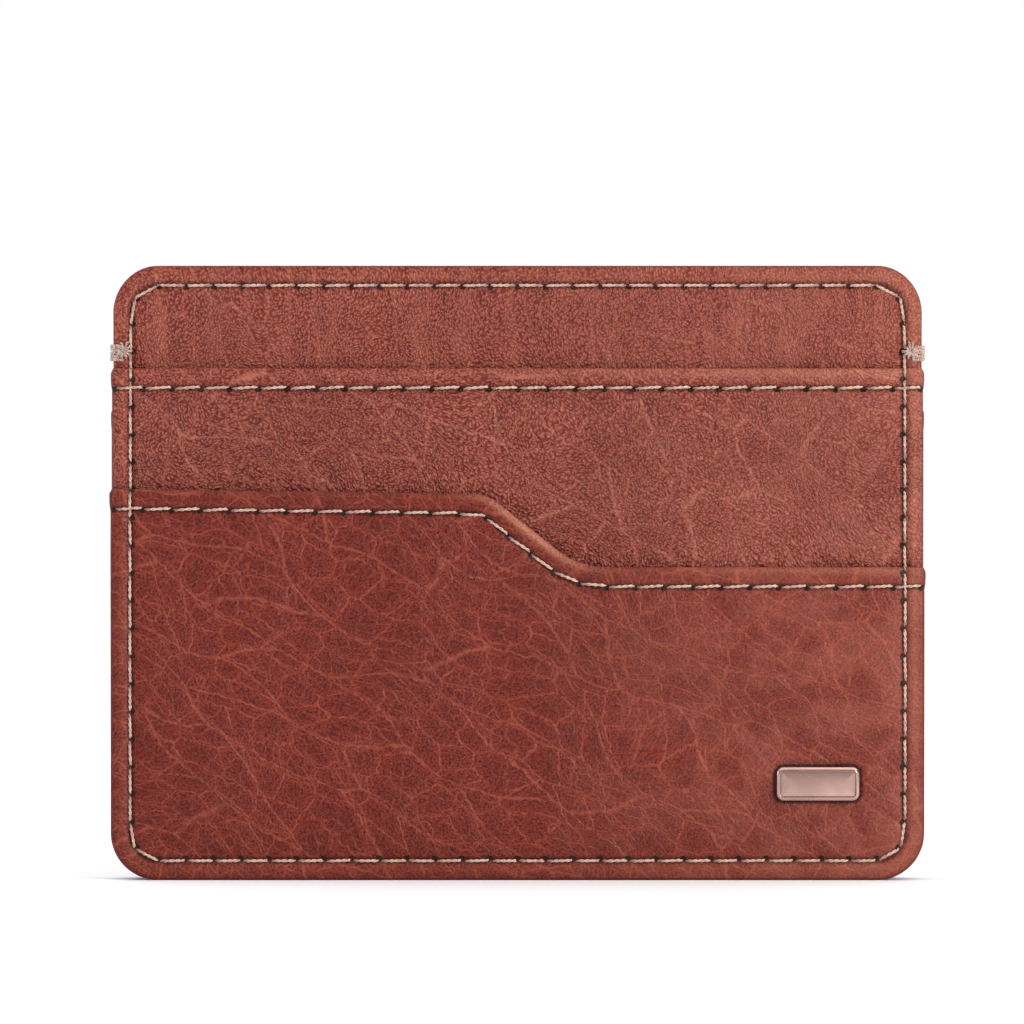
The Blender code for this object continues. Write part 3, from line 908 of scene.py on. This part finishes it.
def leather(name, tones, grain_angle, relief, veins, bands, gloss):
    """Waxed, red-brown leather: a pebbled grain, creases in three sizes and a cloudy tone.

    tones are its dark, middle, light and crease colours; the light one tints the long growth marks
    and is also the painted highlight on the pebbles' tops. veins and bands say how strongly the
    creases and the long growth marks show, and relief how deep the grain is.
    """
    dark, middle, light, vein = tones
    s = Shader(name)
    flat = s.attribute("flat").outputs["Vector"]

    def cloudy(scale, detail=2.0, source=flat):
        return s.noise(source, scale, detail, space="2D")

    sway = s.vector_math("SUBTRACT", cloudy(0.06, 1.0).outputs["Color"], (0.5, 0.5, 0.5))
    bend = s.vector_math("MULTIPLY", sway, (6.0, 6.0, 0.0))
    wobble = s.vector_math("MULTIPLY", cloudy(0.9, 1.0).outputs["Color"], (0.6, 0.6, 0.0))
    place = s.vector_math("ADD", s.vector_math("ADD", flat, bend), wobble)

    def across(narrow):
        return s.place(place, (narrow, 1.0, 1.0), grain_angle)

    pebble = s.cells(across(0.8), 3.1)
    mottle = cloudy(3.8).outputs["Fac"]
    lump = s.cells(across(0.75), 0.8)
    small = s.cells(across(0.7), 0.75, "DISTANCE_TO_EDGE")
    medium = s.cells(across(0.6), 0.33, "DISTANCE_TO_EDGE")
    large = s.cells(across(0.28), 0.17, "DISTANCE_TO_EDGE")
    cloud = cloudy(0.05).outputs["Fac"]
    patch = cloudy(0.16).outputs["Fac"]
    creases = []
    for edges, width, strength in (
        (small, 0.09, s.ease(patch, 0.35, 0.65, 0.25, 0.7)),
        (medium, 0.045, s.ease(patch, 0.3, 0.6, 1.0, 0.65)),
        (large, 0.03, s.ease(cloud, 0.35, 0.6, 0.8, 1.0)),
    ):
        creases.append(s.math("MULTIPLY", s.ease(edges, 0.0, width, 1.0, 0.0), strength))
    crease = s.math("MAXIMUM", s.math("MAXIMUM", creases[0], creases[1]), creases[2])
    broken = s.ease(cloudy(1.0).outputs["Fac"], 0.35, 0.55, 0.4, 1.0)
    crease = s.math("MULTIPLY", crease, broken)
    base = s.mix(s.ease(mottle, 0.40, 0.56), dark, middle)
    hollow = s.ease(medium, 0.08, 0.36, 0.0, 0.44)
    base = s.mix(hollow, base, dark)
    # Painted highlight: the pebbles' tops are lightened towards the light tone.
    base = s.mix(s.ease(pebble, 0.1, 0.5, 0.7, 0.0), base, light)
    growth = cloudy(1.0, source=s.place(flat, (0.42, 0.04, 1.0))).outputs["Fac"]
    base = s.mix(s.ease(growth, 0.45, 0.7, 0.0, bands), base, light)
    base = s.mix(s.ease(cloud, 0.36, 0.62, 0.16, 0.0), base, dark)
    base = s.mix(s.math("MULTIPLY", crease, veins), base, vein)
    parts = s.node("ShaderNodeSeparateXYZ")
    s.link(flat, parts.inputs[0])
    # Painted sheen: towards the right, where the key light stands, the leather is lightened in cloudy
    # patches.
    to_right = s.ease(parts.outputs[0], -10.0, 48.0)
    painted_right_sheen_mask = s.math("MULTIPLY", to_right, s.ease(patch, 0.35, 0.62, 0.10, 0.27))
    base = s.mix(painted_right_sheen_mask, base, PAINTED_RIGHT_SHEEN)
    wear = s.attribute("wear").outputs["Fac"]
    # Painted highlight on the rims, the hem folds and the wave's slope.
    painted_sheen_mask = s.math("MULTIPLY", wear, s.ease(mottle, 0.3, 0.6, 0.45, 1.0))
    base = s.mix(painted_sheen_mask, base, PAINTED_SHEEN)
    # Painted shade: the ring round the badge, where the attribute is below zero, is darkened.
    base = s.mix(s.ease(wear, 0.0, -0.8, 0.0, 0.85), base, tuple(c * 0.25 for c in dark))
    holes, groove, loop_off = stitch_holes(s, "loop_seam", LOOP_PITCH)
    hem_holes, hem_groove, hem_off = stitch_holes(s, "hem_seam", HEM_PITCH)
    hole = s.math("MAXIMUM", holes, hem_holes)
    dip = s.math("MAXIMUM", groove, hem_groove)
    # Painted shade: the seams' grooves are darkened.
    base = s.mix(s.math("MULTIPLY", dip, 0.6), base, tuple(c * 0.5 for c in dark))
    # Painted shade: the outer edge and the rim, where the leather turns away, are darkened.
    base = s.mix(s.ease(loop_off, -2.45, -1.95, 0.6, 0.0), base, dark)
    # Painted shade: the stitch holes are filled with near black.
    base = s.mix(hole, base, PAINTED_HOLE_SHADE)
    dome = s.cells(across(0.6), 0.33)
    lows = s.math("ADD", s.math("MULTIPLY", pebble, 1.2), s.math("MULTIPLY", lump, 1.2))
    lows = s.math("ADD", lows, s.math("MULTIPLY", dome, 2.6))
    height = s.math("SUBTRACT", s.math("MULTIPLY", mottle, 0.3), lows)
    height = s.math("SUBTRACT", height, s.math("MULTIPLY", crease, 0.8))
    off_rim = s.math("MINIMUM", loop_off, hem_off)
    height = s.math("MULTIPLY", height, s.ease(off_rim, -1.2, 0.0, 0.4, 1.0))
    height = s.math("SUBTRACT", height, s.math("MULTIPLY", hole, 2.0))
    normal = s.bump(height, 0.00020, relief)
    rough = s.ease(mottle, 0.3, 0.7, 0.56, 0.42)
    return s.set(Base_Color=base, Roughness=rough, Specular_IOR_Level=gloss, Normal=normal)


def thread_material(name, pale, shade, painted_shade_at_starts):
    """Waxed twisted thread: pale plies with darker creases and a little fuzz."""
    s = Shader(name)
    rest = s.attribute("rest").outputs["Vector"]
    fibre = s.noise(s.place(rest, (6.0, 6.0, 6.0)), 1.0, 3.0, 0.7, 0.6).outputs["Fac"]
    stain = s.noise(rest, 0.9, 2.0).outputs["Fac"]
    base = s.mix(s.ease(fibre, 0.35, 0.68, 0.0, 0.75), pale, shade)
    base = s.mix(s.ease(stain, 0.48, 0.68, 0.0, 0.65), base, shade)
    # Painted shade: each stitch is darker near its start, where it comes up out of the hole.
    if painted_shade_at_starts:
        share = s.attribute("share").outputs["Fac"]
        base = s.mix(s.ease(share, 0.05, 0.5, 0.85, 0.0), base, tuple(c * 0.75 for c in shade))
    bumps = s.bump(fibre, 0.00005, 0.6)
    return s.set(Base_Color=base, Roughness=0.62, Sheen_Weight=0.25, Normal=bumps)


WEAVE_PITCH = 0.32


def cloth_material(name, dark, light):
    """A fine plain-weave lining."""
    s = Shader(name)
    rest = s.attribute("rest").outputs["Vector"]
    parts = s.node("ShaderNodeSeparateXYZ")
    s.link(rest, parts.inputs[0])
    turns = 2 * math.pi / WEAVE_PITCH
    warp = s.math("SINE", s.math("MULTIPLY", parts.outputs[0], turns))
    weft = s.math("SINE", s.math("MULTIPLY", parts.outputs[2], turns))
    weave = s.math("MULTIPLY", warp, weft)
    tint = s.noise(rest, 2.2, 3.0).outputs["Fac"]
    base = s.mix(s.ease(weave, -0.8, 0.8), dark, light)
    base = s.mix(s.ease(tint, 0.35, 0.7, 0.0, 0.5), base, dark)
    bumps = s.bump(weave, 0.00004, 0.7)
    return s.set(Base_Color=base, Roughness=0.85, Sheen_Weight=0.2, Normal=bumps)


def metal_material(name, base_tone, roughness):
    """Plated metal, cloudy, with painted shade where its shade attribute is high."""
    s = Shader(name)
    place = s.node("ShaderNodeTexCoord").outputs["Object"]
    cloud = s.noise(s.place(place, (180.0, 180.0, 180.0)), 1.0, 2.0).outputs["Fac"]
    dim = tuple(c * 0.72 for c in base_tone)
    painted_shade_tone = tuple(c * 0.10 for c in base_tone)
    base = s.mix(s.ease(cloud, 0.3, 0.7, 0.0, 0.8), base_tone, dim)
    base = s.mix(s.math("MULTIPLY", s.attribute("shade").outputs["Fac"], 0.85), base, painted_shade_tone)
    rough = s.ease(cloud, 0.3, 0.7, roughness, roughness + 0.05)
    return s.set(Base_Color=base, Metallic=1.0, Roughness=rough)


def board_material(name):
    """Grey-brown pressed board with short fibres."""
    s = Shader(name)
    place = s.node("ShaderNodeTexCoord").outputs["Object"]
    fibre = s.noise(s.place(place, (1400.0, 1400.0, 700.0)), 1.0, 4.0, 0.7).outputs["Fac"]
    base = s.mix(s.ease(fibre, 0.3, 0.7), tone(120, 105, 88), tone(160, 146, 126))
    return s.set(Base_Color=base, Roughness=0.92, Normal=s.bump(fibre, 0.00003, 0.6))


def finish_with(piece, material):
    """Give a piece its material."""
    piece.data.materials.clear()
    piece.data.materials.append(material)
    return piece


# Camera, light and floor


ROOM_LIGHT = 0.2
WHITE = (1.0, 1.0, 1.0)
FLOOR_REACH = 1.1
CAMERA_DISTANCE = 1.1
CAMERA_LIFT = math.radians(1.5)
VIEW_WIDTHS = 1.2566


def aim(item, target):
    """Turn a camera or light towards a point in metres."""
    way = Vector(target) - item.location
    item.rotation_euler = way.to_track_quat("-Z", "Y").to_euler()


def make_camera():
    """A long lens square to the wallet's front, a little above it."""
    data = bpy.data.cameras.new("camera")
    camera = bpy.data.objects.new("camera", data)
    bpy.context.scene.collection.objects.link(camera)
    middle = Vector((0.0, 0.0, HEIGHT / 2 * MM))
    way = Vector((0.0, -math.cos(CAMERA_LIFT), math.sin(CAMERA_LIFT)))
    camera.location = middle + way * CAMERA_DISTANCE
    aim(camera, middle)
    view_width = VIEW_WIDTHS * WIDTH * MM
    data.sensor_width = 36.0
    data.lens = data.sensor_width * (CAMERA_DISTANCE + LOWER_Y * MM) / view_width
    data.shift_x = -0.0054
    data.shift_y = 0.0591
    data.clip_start = 0.05
    bpy.context.scene.camera = camera


def area_light(name, place, target, size, energy, colour):
    """A soft square light."""
    data = bpy.data.lights.new(name, "AREA")
    data.shape = "SQUARE"
    data.size = size
    data.energy = energy
    data.color = colour
    light = bpy.data.objects.new(name, data)
    bpy.context.scene.collection.objects.link(light)
    light.location = place
    aim(light, target)


def make_studio():
    """A white floor and room, and three soft lights."""
    scene = bpy.context.scene
    scene.view_settings.view_transform = "Standard"
    world = bpy.data.worlds.new("studio")
    scene.world = world
    world.use_nodes = True
    nodes = world.node_tree.nodes
    links = world.node_tree.links
    backdrop = nodes["Background"]
    backdrop.inputs["Color"].default_value = (*WHITE, 1.0)
    seen = nodes.new("ShaderNodeLightPath").outputs["Is Camera Ray"]
    level = nodes.new("ShaderNodeMapRange")
    links.new(seen, level.inputs["Value"])
    level.inputs["To Min"].default_value = ROOM_LIGHT
    level.inputs["To Max"].default_value = 1.0
    links.new(level.outputs["Result"], backdrop.inputs["Strength"])
    target = (0.0, 0.0, 0.04)
    area_light("overhead", (0.0, 1.2, 2.6), (0.0, 1.2, 0.0), 6.4, 184.0, WHITE)
    area_light("key", (0.90, -0.78, 0.42), target, 0.40, 10.6, (1.0, 0.985, 0.97))
    area_light("cool_side", (-0.60, 0.02, 0.20), target, 0.30, 1.4, (0.80, 0.83, 1.0))
    mesh = bpy.data.meshes.new("floor")
    corners = [(x * FLOOR_REACH, y * FLOOR_REACH, 0) for x, y in ((-1, -1), (1, -1), (1, 1), (-1, 1))]
    mesh.from_pydata(corners, [], [(0, 1, 2, 3)])
    floor = bpy.data.objects.new("floor", mesh)
    scene.collection.objects.link(floor)
    paint = bpy.data.materials.new("white_floor")
    paint.use_nodes = True
    shader = paint.node_tree.nodes["Principled BSDF"]
    shader.inputs["Base Color"].default_value = (0.96, 0.96, 0.96, 1.0)
    shader.inputs["Roughness"].default_value = 0.9
    mesh.materials.append(paint)


# The wallet's pieces


# Each layer's edge and face; the last number of a face seeds its unevenness
upper_edge = level_edge(UPPER_HEM)
back_edge = level_edge(BACK_HEM)
lower_surface = pocket_face(FRONT, LOWER_Y, wave_height, 11)
upper_surface = pocket_face(FRONT, UPPER_Y, upper_edge, 23)
panel_surface = panel_face(FRONT, PANEL_Y, 37)
back_pocket_surface = pocket_face(BACK, BACK_POCKET_Y, back_edge, 41)
back_panel_surface = panel_face(BACK, BACK_PANEL_Y, 53)


# Nearer to a hem's edge than this, a thread lies on the layer beyond it
HEM_LIP = 0.15


def front_surface(x, z):
    """The Y of the outermost leather in front at (x, z)."""
    on_lower = z < wave_height(x)[0] - HEM_LIP
    on_upper = z < UPPER_HEM - HEM_LIP
    beyond_lower = np.where(on_upper, upper_surface(x, z), panel_surface(x, z))
    return np.where(on_lower, lower_surface(x, z), beyond_lower)


def back_surface(x, z):
    """The Y of the outermost leather behind at (x, z)."""
    on_pocket = z < BACK_HEM - HEM_LIP
    return np.where(on_pocket, back_pocket_surface(x, z), back_panel_surface(x, z))


def upper_inset(x, z):
    """The upper pocket's edge lies just inside the lower pocket's, and deeper where that covers it."""
    covered_to = np.where(x < 0, WAVE_EDGE, WAVE_RIGHT)
    return 0.14 + 0.9 * (1 - smooth(covered_to - 1.8, covered_to - 0.8, z))


def no_inset(x, z):
    """The outermost layer's edge."""
    return np.zeros_like(x)


def bend_with_lip(piece):
    """Bake the piece's placement into its mesh."""
    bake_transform(piece)


def make_wall_leather(wall, side, face_y, face, step, material):
    """A wall's outer panel and its free lip, as one sheet."""
    panel = make_panel(wall + "_leather", side, face_y, face, step)
    finish_with(panel, material)
    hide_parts(wall + "_panel", wall + "_panel_lip")
    bend_with_lip(panel)


def make_pocket_leather(node, side, under_y, edge, face, step, hidden_below, inset_at, wear, material):
    """One pocket's sheet, for the CAD node of its name."""
    name = node + "_leather"
    pocket = make_pocket(name, side, under_y, edge, face, step, hidden_below, inset_at, wear)
    finish_with(pocket, material)
    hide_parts(node)
    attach(pocket, "root")


def make_leathers(materials):
    """The seven leather nodes, as five sheets."""
    make_wall_leather("front", FRONT, PANEL_Y, panel_surface, FINE_STEP, materials["panel"])
    make_pocket_leather(
        "upper_pocket", FRONT, PANEL_Y, upper_edge, upper_surface,
        FINE_STEP, UPPER_HIDDEN_BELOW, upper_inset, painted_hem_sheen, materials["upper"],
    )
    make_pocket_leather(
        "lower_pocket", FRONT, UPPER_Y, wave_height, lower_surface,
        FINE_STEP, 0.0, no_inset, painted_wave_sheen_and_badge_shade, materials["lower"],
    )
    make_wall_leather("back", BACK, BACK_PANEL_Y, back_panel_surface, BACK_STEP, materials["panel"])
    make_pocket_leather(
        "back_pocket", BACK, BACK_PANEL_Y, back_edge, back_pocket_surface,
        BACK_STEP, 0.0, no_inset, painted_hem_sheen, materials["lower"],
    )


def inside_of_lip(wall, side):
    """The height function of a free lip's inner face: its lining, and the bare leather round it."""
    node = wall + "_lip_lining"
    lining_y = high(node).y if side == FRONT else low(node).y

    def height(x, z):
        on_lining = (np.abs(x) < high(node).x) & (z < high(node).z)
        return np.where(on_lining, lining_y, lip_inner_y(side))

    return height


def loop_holes():
    """Every hole of the perimeter seam, closing on the first."""
    return [loop_point(i * LOOP_PITCH) for i in range(LOOP_STITCHES + 1)]


def hem_holes(edge):
    """The holes of a hem's seam, from side to side."""
    xs, counts = hem_runs(edge)
    at = np.interp(np.arange(int(round(counts[-1])) + 1), counts, xs)
    return [(float(x), float(edge_point(edge, x, HEM_INSET))) for x in at]


def make_threads(materials):
    """Every seam's stitches."""
    holes = loop_holes()
    lip_holes = [hole for hole in holes if hole[1] > FLEX_Z + 0.8]
    walls = (("front", front_surface, FRONT), ("back", back_surface, BACK))
    for seed, (wall, surface, side) in enumerate(walls):
        outside = (holes, surface, side, STITCH_RISE)
        inside = (lip_holes, inside_of_lip(wall, side), -side, INNER_RISE)
        made = sew(wall + "_seam_stitches", [outside, inside], seed + 1, LOOP_SLANT)
        finish_with(made, materials["thread"])
        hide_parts(wall + "_seam_thread", wall + "_lip_thread")
        bend_with_lip(made)
    hems = [
        ("upper_hem_stitches", upper_edge, upper_surface, FRONT, "upper_hem_thread"),
        ("lower_hem_stitches", wave_height, lower_surface, FRONT, "lower_hem_thread"),
        ("back_hem_stitches", back_edge, back_pocket_surface, BACK, "back_hem_thread"),
    ]
    for seed, (name, edge, surface, side, node) in enumerate(hems):
        made = sew(name, [(hem_holes(edge), surface, side, STITCH_RISE)], seed + 20, HEM_SLANT)
        finish_with(made, materials["thread"])
        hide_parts(node)
        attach(made, "root")


def eased_path(corners):
    """A polyline with its corners cut twice, which rounds it."""
    path = np.asarray(corners, float)
    for _ in range(2):
        near = path[:-1] * 0.75 + path[1:] * 0.25
        far = path[:-1] * 0.25 + path[1:] * 0.75
        inner = np.stack([near, far], axis=1).reshape(-1, 3)
        path = np.concatenate([path[:1], inner, path[-1:]])
    return path


TACK_WRAPS = 5
TACK_MARGIN = 0.25
STAR_SPOKES = 10
STAR_RADIUS = 0.98
# Along a wrap's leg, as shares of the way from the seam to the side edge
WRAP_SHARES = (0.0, 0.08, 0.3, 0.55, 0.8, 0.93)
# Along a spoke of the star: (share of its length, height above the leather)
SPOKE_PROFILE = ((0.1, 0.12), (0.3, 0.42), (0.6, 0.46), (0.85, 0.32), (1.0, -0.1))


def wrap_path(way, z, lean):
    """One turn of a tack's thread, from the front's seam round the side edge to the back's."""
    inner = way * (WIDTH / 2 - 1.5)
    outer = way * (WIDTH / 2 - 0.12)
    legs = []
    for side, surface in ((FRONT, panel_surface), (BACK, back_panel_surface)):
        leg = []
        for share in WRAP_SHARES:
            x = inner + (outer - inner) * share
            lift = -0.5 if share == 0.0 else STITCH_RISE
            leg.append((x, float(surface(x, z)) + side * lift, z + lean * (share - 0.5)))
        legs.append(leg)
    edge = (way * (WIDTH / 2 + 0.04), PARTING, z)
    return [*legs[0], edge, *reversed(legs[1])]


def make_tack(name, way, material):
    """A bar tack at one side: wraps round both walls' edges, crossed by a star of short stitches."""
    node = name + "_tack"
    rng = np.random.default_rng(60 + way)
    floor_z = low(node).z + TACK_MARGIN
    top_z = high(node).z - TACK_MARGIN
    points = []
    faces = []
    for i in range(TACK_WRAPS):
        z = floor_z + (top_z - floor_z) * i / (TACK_WRAPS - 1) + rng.uniform(-0.06, 0.06)
        path = eased_path(wrap_path(way, z, rng.uniform(-0.16, 0.16)))
        twisted(points, faces, path, rng.uniform(0, 6.28), 7.0, UPWAYS, 0.1, 0.125)
    middle_x = way * (WIDTH / 2 - 1.6)
    middle_z = (floor_z + top_z) / 2 + 0.3
    for side, surface in ((FRONT, panel_surface), (BACK, back_panel_surface)):
        base = float(surface(middle_x, middle_z))
        for i in range(STAR_SPOKES):
            angle = 2 * math.pi * (i + rng.uniform(-0.2, 0.2)) / STAR_SPOKES
            reach = STAR_RADIUS + rng.uniform(-0.12, 0.12)
            path = []
            for share, rise in SPOKE_PROFILE:
                x = middle_x + share * reach * math.cos(angle)
                path.append((x, base + side * rise, middle_z + share * reach * math.sin(angle)))
            phase = rng.uniform(0, 6.28)
            twisted(points, faces, eased_path(path), phase, 0.9, DEPTHWAYS, 0.085, 0.11)
    piece = finish_with(make_mesh(name + "_tack_wraps", points, faces), material)
    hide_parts(node)
    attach(piece, "root")


def rounded_outline(half_width, half_height, radius, per_corner=8):
    """The (x, z) points of a rounded rectangle about its centre."""
    out = []
    for quarter, (way_x, way_z) in enumerate(((1, 1), (-1, 1), (-1, -1), (1, -1))):
        for i in range(per_corner + 1):
            angle = math.pi / 2 * (quarter + i / per_corner)
            x = way_x * (half_width - radius) + radius * math.cos(angle)
            out.append((x, way_z * (half_height - radius) + radius * math.sin(angle)))
    return out


# The badge's section from its rim inwards: (distance in from the outline, height above the leather)
BADGE_PROFILE = [
    (0.0, 0.0), (0.0, 0.16), (0.0, 0.28), (0.03, 0.36), (0.08, 0.42), (0.28, 0.59), (0.34, 0.63),
    (0.40, 0.64), (0.44, 0.62), (0.47, 0.57), (0.52, 0.54), (0.60, 0.545), (0.9, 0.56), (1.4, 0.58),
    (1.9, 0.585),
]


def add_post(points, faces, x, z, front_y, back_y):
    """Add a closed round bar along Y to the lists of points and faces."""
    start = len(points)
    for y in (front_y, back_y):
        for i in range(POST_SIDES):
            angle = 2 * math.pi * i / POST_SIDES
            points.append((x + POST_RADIUS * math.cos(angle), y, z + POST_RADIUS * math.sin(angle)))
    for i in range(POST_SIDES):
        j = (i + 1) % POST_SIDES
        faces.append((start + i, start + j, start + POST_SIDES + j, start + POST_SIDES + i))
    faces.append(tuple(start + i for i in reversed(range(POST_SIDES))))
    faces.append(tuple(start + POST_SIDES + i for i in range(POST_SIDES)))


def make_badge(material):
    """The badge: a bevelled frame round a slightly sunk, slightly crowned plain face."""
    box_low, box_high = low("badge_plate"), high("badge_plate")
    half_width = (box_high.x - box_low.x) / 2
    half_height = (box_high.z - box_low.z) / 2
    centre_x = (box_high.x + box_low.x) / 2
    centre_z = (box_high.z + box_low.z) / 2
    base_y = box_low.y + BADGE_THICKNESS
    points = []
    faces = []
    for inset, rise in BADGE_PROFILE:
        ring = rounded_outline(half_width - inset, half_height - inset, max(BADGE_CORNER - inset, 0.12))
        points += [(centre_x + x, base_y - rise, centre_z + z) for x, z in ring]
    n = len(points) // len(BADGE_PROFILE)
    for k in range(len(BADGE_PROFILE) - 1):
        for i in range(n):
            j = (i + 1) % n
            faces.append((k * n + j, k * n + i, (k + 1) * n + i, (k + 1) * n + j))
    faces.append(tuple(range(n)))
    faces.append(tuple(len(points) - 1 - i for i in range(n)))
    for way in (-1, 1):
        post_x = centre_x + way * POST_OFFSET
        add_post(points, faces, post_x, centre_z, base_y, box_high.y)
    # Painted shade: the groove inside the bevel and the foot of the rim beside the leather are darkened.
    shade = np.zeros(len(points))
    for k, (inset, rise) in enumerate(BADGE_PROFILE):
        at_base = 1.0 if rise < 0.2 else 0.0
        shade[k * n:(k + 1) * n] = max(bell(inset, 0.50, 0.07), at_base)
    piece = finish_with(make_mesh("badge", points, faces, {"shade": shade}), material)
    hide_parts("badge_plate")
    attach(piece, "root")


def make_cloth(name, nodes, edge, drop, material):
    """A lining: a closed woven sheet, from the first node's base to a line below an edge."""
    base = low(nodes[0])
    half_width = min(high(nodes[0]).x, high(nodes[-1]).x + LINING_SPREAD)
    xs = np.linspace(-half_width, half_width, 76)
    tops = edge_point(edge, xs, drop)
    shares = np.linspace(0, 1, 60)[:, None]
    z = base.z + (tops[None, :] - base.z) * shares
    x = np.repeat(xs[None, :], len(shares), axis=0)
    middle = (base.y + high(nodes[0]).y) / 2 + 0.02 * gradient_noise(x, z, 7.0, len(name))
    half = LINING_THICKNESS / 2
    points = [np.stack([x, middle + way * half, z], axis=-1).reshape(-1, 3) for way in (-1, 1)]
    rows, columns = x.shape
    count = x.size
    faces = grid_faces(rows, columns, 0, False) + grid_faces(rows, columns, count, True)
    loop = perimeter(rows, columns)
    one = loop[:, 0] * columns + loop[:, 1]
    two = one + count
    faces += np.stack([one, two, np.roll(two, -1), np.roll(one, -1)], axis=-1).tolist()
    piece = finish_with(make_mesh(name, np.concatenate(points), faces), material)
    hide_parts(*nodes)
    return piece


def make_linings(material):
    """The cloth inside each wall, up to its lip, and behind each pocket sheet."""
    for wall in ("front", "back"):
        nodes = (wall + "_lining", wall + "_lip_lining")
        top = level_edge(high(nodes[1]).z)
        piece = make_cloth(wall + "_wall_cloth", nodes, top, 0.0, material)
        bend_with_lip(piece)
    pockets = (
        ("upper_pocket_lining", upper_edge),
        ("lower_pocket_lining", wave_height),
        ("back_pocket_lining", back_edge),
    )
    for node, edge in pockets:
        piece = make_cloth(node + "_cloth", (node,), edge, LINING_BELOW_HEM, material)
        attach(piece, "root")


def make_materials():
    """Every material of the wallet."""
    return {
        "panel": leather("panel_leather", (DEEP, RED, ROSE_BANDS_AND_HIGHLIGHT, PINK), 82, 0.75, 0.36, 0.2, 0.3),
        "upper": leather("upper_pocket_leather", (DEEP, RED, ROSE_BANDS_AND_HIGHLIGHT, PINK), 38, 0.95, 0.6, 0.0, 0.32),
        "lower": leather("lower_pocket_leather", (DEEPER, DARK, WARM_HIGHLIGHT, VEIN), 30, 0.42, 0.6, 0.0, 0.26),
        "thread": thread_material("cream_thread", tone(226, 200, 178), tone(158, 112, 106), True),
        "tack": thread_material("taupe_thread", tone(216, 186, 168), tone(120, 86, 84), False),
        "lining": cloth_material("brown_lining", tone(60, 36, 30), tone(98, 62, 50)),
        "board": board_material("pressed_board"),
        "badge": metal_material("rose_gold", tone(208, 170, 158), 0.24),
        "steel": metal_material("backing_steel", tone(180, 180, 182), 0.35),
    }


def main():
    """Build the whole scene round the CAD frame."""
    make_camera()
    make_studio()
    materials = make_materials()
    make_leathers(materials)
    make_threads(materials)
    make_tack("left", -1, materials["tack"])
    make_tack("right", 1, materials["tack"])
    make_badge(materials["badge"])
    make_linings(materials["lining"])
    for node, material in (
        ("front_board", "board"),
        ("back_board", "board"),
        ("badge_backing", "steel"),
    ):
        data = bpy.data.objects[node].data
        data.materials.clear()
        data.materials.append(materials[material])


main()
